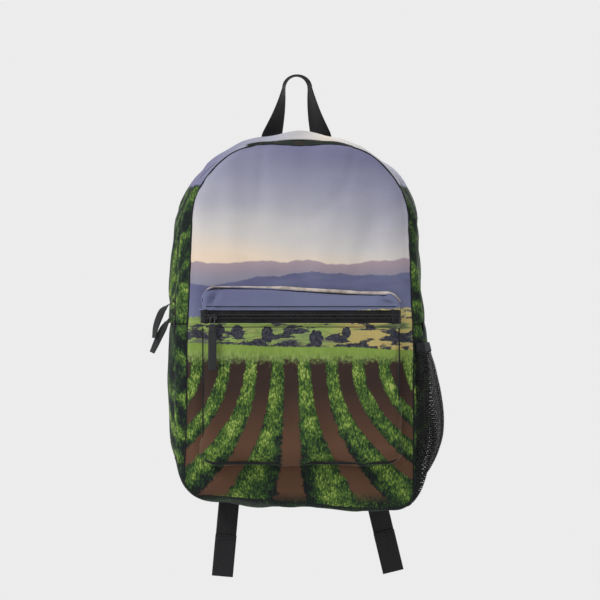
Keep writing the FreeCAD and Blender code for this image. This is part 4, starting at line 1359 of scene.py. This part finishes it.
def pocket_zip():
    """Tapes, teeth, turned hems, seams and end tabs of the pocket's zip."""
    for name, sign in (("upper", 1.0), ("lower", -1.0)):
        columns = [pocket_line(POCKET_ZIP_Z + sign * step, POCKET_TAPE_HALF, -1.0)
                   for step in np.linspace(0.5, 10.0, 5)]
        obj = cloth(f"pocket_tape_{name}_cloth", np.stack(columns, 1), [TAPE, TAPE], thickness=0.7)
        finish_piece(obj, "bag", "zip_tape", f"pocket_tape_{name}")
        centres = resample(pocket_line(POCKET_ZIP_Z + sign * 1.7, POCKET_TAPE_HALF - 2, 0.0), TOOTH_PITCH)
        if sign < 0:
            centres = (centres[:-1] + centres[1:]) / 2
        tangent, across, _ = frames_along(centres, (0, 0, 1))
        obj = beads(f"pocket_coil_{name}_teeth", centres, across, tangent, TOOTH, COIL)
        finish_piece(obj, "bag", "zip_coil", f"pocket_coil_{name}")
        hem = pocket_line(POCKET_ZIP_Z + sign * (POCKET_SLOT + 0.3), POCKET_TAPE_HALF + 6, -0.2)
        obj = swept(f"pocket_hem_{name}", hem, (0, 0, 1), round_profile(1.1, 8), PRINT, printed=True)
        finish_piece(obj, "bag", "printed_fabric")
        seam = pocket_line(POCKET_ZIP_Z + sign * (POCKET_SLOT + 3.6), POCKET_TAPE_HALF - 2, 0.2)
        obj = swept(f"pocket_stitched_seam_{name}", seam, (0, 0, 1), round_profile(0.45, 6), THREAD)
        finish_piece(obj, "bag", "piping_fabric")
    for side, sign in SIDES.items():
        line_at = [pocket_line(POCKET_ZIP_Z + step, POCKET_TAPE_HALF + 4, 1.0, 160)
                   for step in np.linspace(-8.6, 8.6, 7)]
        grid = np.stack(line_at, 1)
        inner = 105.0 if sign > 0 else 108.0
        keep = grid[:, 0, 0] * sign > inner
        obj = cloth(f"pocket_end_tab_{side}", grid[keep], [TAPE, TAPE], thickness=1.0)
        finish_piece(obj, "bag", "zip_tape", *(("pocket_zip_tabs",) if side == "left" else ()))


def pocket_rolled_edge():
    """The puffed piping over the pocket's top edge, a dark seam cord under it that also stands in as painted
    shade beneath the roll, and the thin seam round the pocket, thickened along the bottom as painted shade
    of the crease under the pocket.
    """
    row = POCKET[2]
    points = round_box((row[0], row[1] - 0.5, row[2] + 0.6, row[3], row[4]))
    rim = at_depth(points, -123.5)
    top = rim[rim[:, 2] > -274]
    top = resample(slanted(top[np.argsort(top[:, 0])]), 3.0)
    top[:, 2] += 0.7 * ripple(top, 30.0, (1, 0, 0), 81.0)
    share = np.linspace(-1, 1, len(top))
    radius = 0.9 + 2.0 * ease(share, -0.6, -0.1) * (1 - 0.5 * ease(share, 0.88, 1.0))
    profile = np.stack([round_profile(r, 10) for r in radius])
    obj = swept("pocket_rolled_edge", top, (0, 1, 0), profile, PALE_EDGE)
    finish_piece(obj, "bag", "printed_fabric")
    # Dark seam cord under the rolled edge; it also stands in as painted shade beneath the roll.
    rim = at_depth(round_box(section(POCKET, 0, -127.6)), -128.4)
    under = rim[rim[:, 2] > -276]
    under = resample(slanted(under[np.argsort(under[:, 0])]), 3.0)
    obj = swept("pocket_edge_seam_and_shade", under, (0, 1, 0), round_profile(0.75, 6), PIPE)
    finish_piece(obj, "bag", "piping_fabric")
    rim = at_depth(round_box(section(POCKET, 0, -129.0)), -130.4)
    sides = rim[rim[:, 2] < POCKET_ZIP_Z - 12]
    sides = np.roll(sides, -np.argmax(np.linalg.norm(np.diff(sides, axis=0), axis=1)) - 1, axis=0)
    sides = resample(sides, 3.0)
    # Painted shade: the dark seam cord thickens along the pocket's bottom to stand for the crease shadow
    # under the overhang.
    low = ease(-sides[:, 2], 440, 455)
    profile = np.stack([round_profile(0.8 + 0.8 * share, 8) for share in low])
    obj = swept("pocket_side_seam_and_crease_shade", sides, (0, 1, 0), profile, PIPE)
    finish_piece(obj, "bag", "piping_fabric")


# ---------------------------------------------------------------------------------------------
# Mesh pocket
# ---------------------------------------------------------------------------------------------

def mesh_row(z, bulge, count=40):
    """Level line of the side pocket, from its front seam round to its back seam."""
    start, stop = np.array((134.0, -103.0)), np.array((152.5, -4.0))
    share = np.linspace(0, 1, count)
    body_x = np.array([np.interp(z, *wall_at(y)) for y in start[1] + (stop[1] - start[1]) * share])
    swell = np.sin(math.pi * share ** 0.85) ** 0.75
    x = body_x + 0.8 + bulge * swell
    return np.stack([x, start[1] + (stop[1] - start[1]) * share, np.full(count, z)], 1)


def wall_at(y):
    """Heights and half widths of the bag's side at y."""
    parts, _ = half_arch(section(BODY, 0, y), BODY_LEVELS)
    points = np.concatenate(parts)
    order = np.argsort(points[:, 1])
    return points[order, 1], points[order, 0]


def mesh_pocket():
    """Side pocket of netting, gathered into an elastic binding at its mouth."""
    heights = np.linspace(MESH[-1][0], MESH[0][0], 44)
    knots = [row[0] for row in MESH][::-1]
    bulges = through(knots, [row[1] for row in MESH][::-1], heights)
    grid = settled(np.stack([mesh_row(z, b) for z, b in zip(heights, bulges)], 0))
    slack = ripple(grid, 26.0, (1, 1, 0.5), 91.0) * 1.2
    fall = fall_across(grid.shape[1], 0.2)
    grid = grid + np.array((1.0, 0, 0)) * (slack * fall)[..., None]
    split = int(np.searchsorted(heights, MESH[0][0] - BINDING))
    obj = cloth("mesh_pocket_net", grid[:split + 1], [NET, NET], thickness=0.5, offset=0.0)
    finish_piece(obj, "bag", "pocket_mesh", "mesh_pocket")
    levels = zip(np.linspace(MESH[0][0] - BINDING, MESH[0][0], 9), np.linspace(4.6, 2.6, 9))
    band = settled(np.stack([mesh_row(z, b, 90) for z, b in levels], 0))
    gather = ripple(band, 5.0, (1, 1, 0.08), 95.0) * 0.55 * fall_across(90, 0.1)
    band = band + np.array((1.0, 0, 0)) * (0.5 + gather)[..., None]
    obj = cloth("mesh_binding_elastic", band, [ELASTIC, ELASTIC], thickness=1.8)
    finish_piece(obj, "bag", "elastic_binding", "mesh_binding")


# ---------------------------------------------------------------------------------------------
# Back, straps and webbing
# ---------------------------------------------------------------------------------------------

def back_panel():
    """Padded back: crowned spacer mesh with pressed channels, over foam and lining."""
    rows = [(0.0, 150.0, -72.0, -518.0, 40.0, 181.0, 122.0),
            (7.0, 150.5, -71.5, -518.5, 40.0, 181.0, 122.0),
            (11.5, 146.0, -76.0, -514.0, 38.0, 178.0, 119.0),
            (13.2, 134.0, -88.0, -502.0, 34.0, 168.0, 110.0),
            (14.0, 90.0, -140.0, -450.0, 26.0, 130.0, 74.0),
            (14.2, 12.0, -270.0, -330.0, 8.0, 30.0, 9.0)]
    grid = settled(dome(rows, whole_arch, 60))
    x, z = grid[..., 0], grid[..., 2]
    inside = np.clip((grid[..., 1] - 12.0) / 1.5, 0, 1)
    spine = bump(x, 11.0) * bump(np.clip(np.abs(z + 300) - 165, 0, None), 20.0)
    cross = sum(bump(z - at + 0.0016 * x * x, 4.5) for at in BACK_CHANNELS) * np.clip(np.abs(x) / 30, 0, 1)
    ring = bump(np.hypot(x, (z + 300) * 0.62) - 122, 4.5)
    lift = ripple(grid, 60.0, (1, 1, 1), 101.0, 2) * 0.5 - 4.2 * np.clip(spine + cross + ring, 0, 1) * inside
    grid = grid + np.array((0, 1.0, 0)) * lift[..., None]
    rows_count, columns = grid.shape[:2]
    faces = grid_faces(rows_count, columns, True)
    faces.append(tuple(i * columns + columns - 1 for i in range(rows_count)))
    faces.append(tuple(i * columns for i in range(rows_count))[::-1])
    obj = add_mesh("back_pad", grid, faces, [AIR_MESH])
    tidy_normals(obj)
    finish_piece(obj, "bag", "air_mesh", "back_cover", "back_foam")


def back_lining():
    """Lining of the back, inside the bag."""
    rows = [(-0.5, 149.3, -72.7, -517.3, 39.3, 180.3, 121.3),
            (-0.8, 120.0, -102.0, -488.0, 34.0, 150.0, 95.0),
            (-0.9, 60.0, -170.0, -400.0, 24.0, 90.0, 45.0),
            (-1.0, 10.0, -270.0, -330.0, 6.0, 24.0, 8.0)]
    grid = settled(dome(rows, whole_arch, 12))
    obj = cloth("back_lining_cloth", grid, [LINING, LINING], closed=True, cap=True, thickness=0.6,
                offset=0.0)
    finish_piece(obj, "bag", "lining", "back_lining")


def laptop_sleeve():
    """Sleeve against the back, open at the top, with its upper edge bound."""
    half, depth, low, high, corner = 127.0, 21.0, -497.0, -206.0, 8.0
    plan = np.concatenate([line((-half, -2.0), (-half, corner - depth), 5),
                           arc((corner - half, corner - depth), corner, 180, 270, 8),
                           line((corner - half, -depth), (half - corner, -depth), 70),
                           arc((half - corner, corner - depth), corner, 270, 360, 8),
                           line((half, corner - depth), (half, -2.0), 5), [(half, -2.0)]])
    rows = []
    for z in np.linspace(high, low, 60):
        flat = 1 - 0.9 * ease(-z, 470, -low)
        rows.append(np.stack([plan[:, 0], -2.0 + (plan[:, 1] + 2.0) * flat, np.full(len(plan), z)], 1))
    grid = np.array(rows)
    sag = ripple(grid, 70.0, (1, 1, 0.5), 98.0, 2) * 1.6 * ease(-grid[..., 1], 8, 20)
    grid[..., 1] += sag * ease(-grid[..., 2], -high, 240)
    obj = cloth("laptop_sleeve_cloth", grid, [LINING, LINING], thickness=2.2)
    finish_piece(obj, "bag", "lining", "laptop_sleeve")
    rim = np.column_stack([plan, np.full(len(plan), high - 5.0)])
    obj = swept("sleeve_edge_binding", resample(rim, 3.0), (0, 0, 1), tape_profile(12.0, 4.6, 10), ELASTIC)
    finish_piece(obj, "bag", "elastic_binding", "sleeve_binding")


def strap_centres(sign, count):
    """Points down a shoulder strap's middle, and its half width at each."""
    z = np.linspace(STRAP_PROFILE[0][1], STRAP_PROFILE[-1][1], count)
    plan_z = [row[1] for row in STRAP_PLAN][::-1]
    side_z = [row[1] for row in STRAP_PROFILE][::-1]
    x = through(plan_z, [row[0] for row in STRAP_PLAN][::-1], z)
    half = through(plan_z, [row[2] for row in STRAP_PLAN][::-1], z)
    y = through(side_z, [row[0] for row in STRAP_PROFILE][::-1], z)
    return np.stack([sign * x, y, z], 1), half


def strap(side, sign):
    """Padded shoulder strap with bound edges and webbing stitched down its back."""
    centres, half = strap_centres(sign, 60)
    sections = []
    for width in half:
        turn = np.linspace(0, 2 * math.pi, 28, endpoint=False)
        across = np.sign(np.cos(turn)) * np.abs(np.cos(turn)) ** 0.4 * (width - 1.5)
        up = np.sign(np.sin(turn)) * np.abs(np.sin(turn)) ** 0.55 * 3.6
        sections.append(np.stack([across, up], 1))
    obj = swept(f"shoulder_strap_{side}_pad", centres, (1, 0, 0), np.stack(sections), STRAP_MESH)
    obj = puffed(obj, 4.5, 4.0, 2.6)
    finish_piece(obj, f"strap_{side}", "air_mesh", f"shoulder_strap_{side}")
    _, across, up = frames_along(centres, (1, 0, 0))
    for edge, way in (("inner", -1.0), ("outer", 1.0)):
        path = centres + across * (half * way * sign)[:, None]
        binding = swept(f"strap_{side}_{edge}_binding", path, (1, 0, 0), tape_profile(4.4, 4.2, 8), PIPE)
        finish_piece(binding, f"strap_{side}", "piping_fabric")
    ends = centres[1] + np.outer(np.linspace(-1, 1, 24) * half[1], across[1])
    binding = swept(f"strap_{side}_top_binding", ends, (0, 0, 1), tape_profile(5.0, 9.0, 10), PIPE)
    finish_piece(binding, f"strap_{side}", "piping_fabric")
    if np.mean(up[:, 1]) < 0:
        up = -up
    top = centres[6:] + up[6:] * 5.9
    web = swept(f"strap_{side}_webbing", top, (1, 0, 0), tape_profile(WEB_WIDTH, WEB, 12, WEB_RIB), WEBBING)
    finish_piece(web, f"strap_{side}", "webbing")
    for edge in (-1.0, 1.0):
        seam = top + across[6:] * edge * 10.6 + up[6:] * 0.8
        tag = "a" if edge < 0 else "b"
        obj = stitch_line(f"strap_{side}_stitches_{tag}", seam, (1, 0, 0), THREAD, 3.6, 2.5, 0.6)
        finish_piece(obj, f"strap_{side}", "piping_fabric")


def lock_frame(side):
    """Point of the lock's top bar, with directions across, back and up."""
    joint = next(j for j in frame["joints"] if j["name"] == f"lock_{side}_tilt")
    across = unit(joint["axis"])
    return np.array(joint["pos_m"]) / MM, across, np.array((0, 1.0, 0)), unit((-across[2], 0, across[0]))


def web_path(side, points, step=1.2):
    """Points given as (back, up) in a lock's own frame, put in place and evenly spaced."""
    origin, _, back, up = lock_frame(side)
    return resample([origin + back * b + up * u for b, u in points], step)


def half_turn(radius, centre_up, start, stop, count=12):
    """Points round a lock bar as (back, up), between two angles in degrees."""
    turn = np.radians(np.linspace(start, stop, count))
    return [(radius * math.cos(t), centre_up + radius * math.sin(t)) for t in turn]


def lock_piece(side):
    """Moulded ladder lock: two rails and three round bars, softly bevelled."""
    origin, across, back, up = lock_frame(side)
    parts = []
    for drop, radius in ((0.0, 2.0), (LOCK_MIDDLE, 2.0), (LOCK_LOW, 2.3)):
        ends = np.array([origin - up * drop + across * s for s in np.linspace(-15, 15, 8)])
        parts.append(swept("bar", ends, back, round_profile(radius, 14), BUCKLE))
    for sign in (-1, 1):
        path = np.array([origin + across * sign * (15.2 + 0.5 * math.sin(s * math.pi))
                         + up * (3.2 - 32.4 * s) for s in np.linspace(0, 1, 14)])
        sizes = 1.0 - 0.25 * np.abs(np.linspace(-1, 1, 14)) ** 6
        profile = np.stack([tape_profile(3.6 * k, 5.2 * k, 8) for k in sizes])
        parts.append(swept("rail", path, across, profile, BUCKLE))
    grip = np.array([origin - up * (LOCK_LOW + 3.2) + back * 1.0 + across * s
                     for s in np.linspace(-14, 14, 8)])
    parts.append(swept("grip", grip, back, tape_profile(3.4, 4.6, 6), BUCKLE))
    obj = joined(f"ladder_lock_{side}_moulded", parts)
    finish_piece(obj, f"lock_{side}", "buckle_plastic", f"ladder_lock_{side}")


def strap_webs(side, sign):
    """The strap's end loop, the adjuster's tail and its load side."""
    origin, across, back, up = lock_frame(side)
    loop = [(WEB_TURN, 22.0)] + half_turn(WEB_TURN, 0, 0, -180) + [(-WEB_TURN, 22.0)]
    obj = swept(f"strap_end_loop_{side}_web", web_path(side, loop), across,
                tape_profile(WEB_WIDTH, WEB, 12, WEB_RIB), WEBBING)
    finish_piece(obj, f"strap_{side}", "webbing", f"strap_end_loop_{side}")

    middle = -LOCK_MIDDLE
    path = [(-WEB_TURN, middle - 7)] + half_turn(WEB_TURN, middle, 180, 0)
    path += [(WEB_TURN, middle - 20), (WEB_TURN + 0.3, -120.0), (WEB_TURN - 0.2, -TAIL_LENGTH + 6),
             (WEB_TURN + 0.4, -TAIL_LENGTH)]
    main = swept("tail", web_path(side, path), across, tape_profile(WEB_WIDTH, WEB, 12, WEB_RIB), WEBBING)
    fold = web_path(side, [(WEB_TURN - 1.5, -TAIL_LENGTH + 0.2), (WEB_TURN - 1.7, -TAIL_LENGTH + 25),
                           (WEB_TURN - 1.6, -TAIL_LENGTH + HEM)])
    hem = swept("hem", fold, across, tape_profile(WEB_WIDTH + 0.8, WEB + 0.1, 12, WEB_RIB), WEBBING)
    parts = [main, hem]
    for height in (HEM - 2.5, HEM - 6.0):
        for face in (WEB_TURN + 0.9, WEB_TURN - 2.5):
            at = [origin + back * face + up * (height - TAIL_LENGTH) + across * s for s in (-11.0, 11.0)]
            parts.append(stitch_line("seam", at, up, THREAD, 2.6, 2.0, 0.6))
    obj = joined(f"strap_tail_{side}_web", parts)
    finish_piece(obj, f"tail_{side}", "webbing", f"strap_tail_{side}")

    foot = settled(np.array((sign * 116.0, BACK_FACE_Y + 2.6, -492.0)))
    top = origin - up * (LOCK_MIDDLE + 1.0) + back * -WEB_TURN
    knots = [foot, foot * 0.55 + top * 0.45 + np.array((0, 1.5, 0)),
             origin - up * (LOCK_LOW + 1) - back * WEB_TURN, top]
    obj = swept(f"lower_web_{side}_web", resample(knots, 2.0), across,
                tape_profile(WEB_WIDTH, WEB, 12, WEB_RIB), WEBBING)
    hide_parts(f"lower_web_{side}")
    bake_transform(obj)
    tab = np.array([(sign * 134, -506), (sign * 140, -476), (sign * 106, -480), (sign * 100, -506)], float)
    rows = []
    for s in np.linspace(0, 1, 10):
        low = tab[3] * (1 - s) + tab[0] * s
        high = tab[2] * (1 - s) + tab[1] * s
        places = [low + (high - low) * t for t in np.linspace(0, 1, 8)]
        rows.append([(p[0], BACK_FACE_Y + 3.4, p[1]) for p in places])
    grid = settled(np.array(rows))
    obj = cloth(f"anchor_tab_{side}_cloth", grid, [TAPE, TAPE], thickness=1.6)
    finish_piece(obj, "bag", "webbing", f"anchor_tab_{side}")


def haul_loop():
    """Webbing loop: sewn flat at its feet, turning edge-on little by little up to the peg."""
    reach = LOOP_RADIUS + WEB / 2
    hinge_y, hinge_z = LOOP_HINGE
    start, stop = np.array((-LOOP_FOOT_X, hinge_y, hinge_z - 5)), np.array((-reach, 0.0, -LOOP_RADIUS))
    foot = line((-LOOP_FOOT_X, hinge_y, -100.0), start, 16)
    share = np.linspace(0, 1, 44, endpoint=False)
    climb = start + (stop - start) * share[:, None]
    climb[:, 0] += 1.0 * np.sin(math.pi * share)
    climb[:, 1] = hinge_y * (1 - ease(share, 0.1, 1.0))
    crown_turn = np.linspace(math.pi, math.pi / 2, 13)
    crown = np.stack([reach * np.cos(crown_turn), 0 * crown_turn,
                      -LOOP_RADIUS + reach * np.sin(crown_turn)], 1)
    left = np.concatenate([foot, climb, crown])
    edge_on = np.array((0, 1.0, 0))
    level = np.cross(edge_on, directions(left))
    turned = math.acos(0.16)
    rest_of_turn = (math.pi / 2 - turned) * ease(crown_turn, math.pi, math.pi / 2)
    twist = np.concatenate([0 * foot[:, 0], np.arccos(1 - 0.84 * share), turned + rest_of_turn])
    sides = level * np.cos(twist)[:, None] + edge_on * np.sin(twist)[:, None]
    path = np.concatenate([left, (left[:-1] * (-1, 1, 1))[::-1]])
    far = (sides[:-1] * (-1, 1, 1))[::-1]
    side = np.concatenate([sides, far])
    obj = swept("haul_loop_web", path, side, tape_profile(WEB_WIDTH, WEB, 14, WEB_RIB), WEBBING)
    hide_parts("haul_loop", "haul_loop_feet")
    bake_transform(obj)


def strap_yoke():
    """Reinforcing band over the strap tops, with a stitched box at each end."""
    grid = np.array([[(share * (64 - 0.8 * (z + 88)), 15.4, z) for z in np.linspace(-108, -88, 14)]
                     for share in np.linspace(-1, 1, 90)])
    obj = cloth("strap_yoke_cloth", grid, [TAPE, TAPE], thickness=1.6, offset=0.0)
    finish_piece(obj, "bag", "webbing", "strap_yoke")
    for number, z in enumerate((-104.5, -90.5)):
        seam = [(x, 16.5, z) for x in np.linspace(-62, 62, 50)]
        obj = stitch_line(f"yoke_stitches_{number}", seam, (0, 0, 1), THREAD)
        finish_piece(obj, "bag", "piping_fabric")


# ---------------------------------------------------------------------------------------------
# Stage
# ---------------------------------------------------------------------------------------------

def floor():
    """A wide pale disc, well below the bag."""
    turn = np.linspace(0, 2 * math.pi, 65)[:-1]
    reach = np.linspace(0.5, 3300.0, 12)
    level = CAD_BOX[0][2] / MM - 450
    disc = np.stack([np.outer(np.cos(turn), reach), np.outer(np.sin(turn), reach),
                     np.full((64, 12), level)], 2)
    shader = Shader("pale_floor", kept=False)
    tone = shader.mix(shader.noise(1.5, 3.0), (238, 238, 239), (243, 243, 243))
    obj = add_mesh("floor", disc.reshape(-1, 3), grid_faces(64, 12, closed=True), [shader.finish(tone, 0.9)],
                   smooth=False)


def area_light(name, place, target, size, power):
    """Round soft light at place that shines on target."""
    light = bpy.data.lights.new(name, "AREA")
    light.shape = "DISK"
    light.size = size
    light.energy = power
    obj = bpy.data.objects.new(name, light)
    obj.location = place
    obj.rotation_euler = (Vector(target) - Vector(place)).to_track_quat("-Z", "Y").to_euler()
    bpy.context.scene.collection.objects.link(obj)


def lights():
    """Even white surroundings with three soft lights."""
    world = bpy.data.worlds.new("studio")
    bpy.context.scene.world = world
    world.use_nodes = True
    background = world.node_tree.nodes["Background"]
    background.inputs["Color"].default_value = (1.0, 1.0, 1.0, 1)
    background.inputs["Strength"].default_value = 0.84
    target = (0, 0, -0.3)
    area_light("key", (-1.9, -1.2, 1.2), target, 0.6, 38)
    area_light("fill", (1.7, -1.4, 0.1), target, 1.8, 2.5)
    area_light("back", (0.9, 1.9, 0.9), target, 0.8, 30)


def camera():
    """Level view from the front, a little to the bag's left, through a long lens."""
    width_seen = 0.718
    distance = 3.5
    turn = math.radians(-2.3)
    target = Vector((0.0024, -0.035, -0.2705))
    data = bpy.data.cameras.new("camera")
    data.sensor_width = 36.0
    data.lens = 36.0 * distance / width_seen
    obj = bpy.data.objects.new("camera", data)
    obj.location = target + Vector((math.sin(turn), -math.cos(turn), 0)) * distance
    obj.rotation_euler = (math.pi / 2, 0, turn)
    bpy.context.scene.collection.objects.link(obj)
    bpy.context.scene.camera = obj


def build():
    """Makes every piece of the bag."""
    rear_gusset()
    front_gusset()
    side_panels()
    bottom_panel()
    front_panel()
    piping()
    main_zip()
    fold_back_hems()
    sliders_and_pulls()
    zip_end_tabs()
    front_pocket()
    pocket_zip()
    pocket_rolled_edge()
    mesh_pocket()
    back_panel()
    back_lining()
    laptop_sleeve()
    for side, sign in SIDES.items():
        strap(side, sign)
        lock_piece(side)
        strap_webs(side, sign)
    haul_loop()
    strap_yoke()


build()
floor()
lights()
camera()
bpy.context.scene.view_settings.view_transform = "Standard"
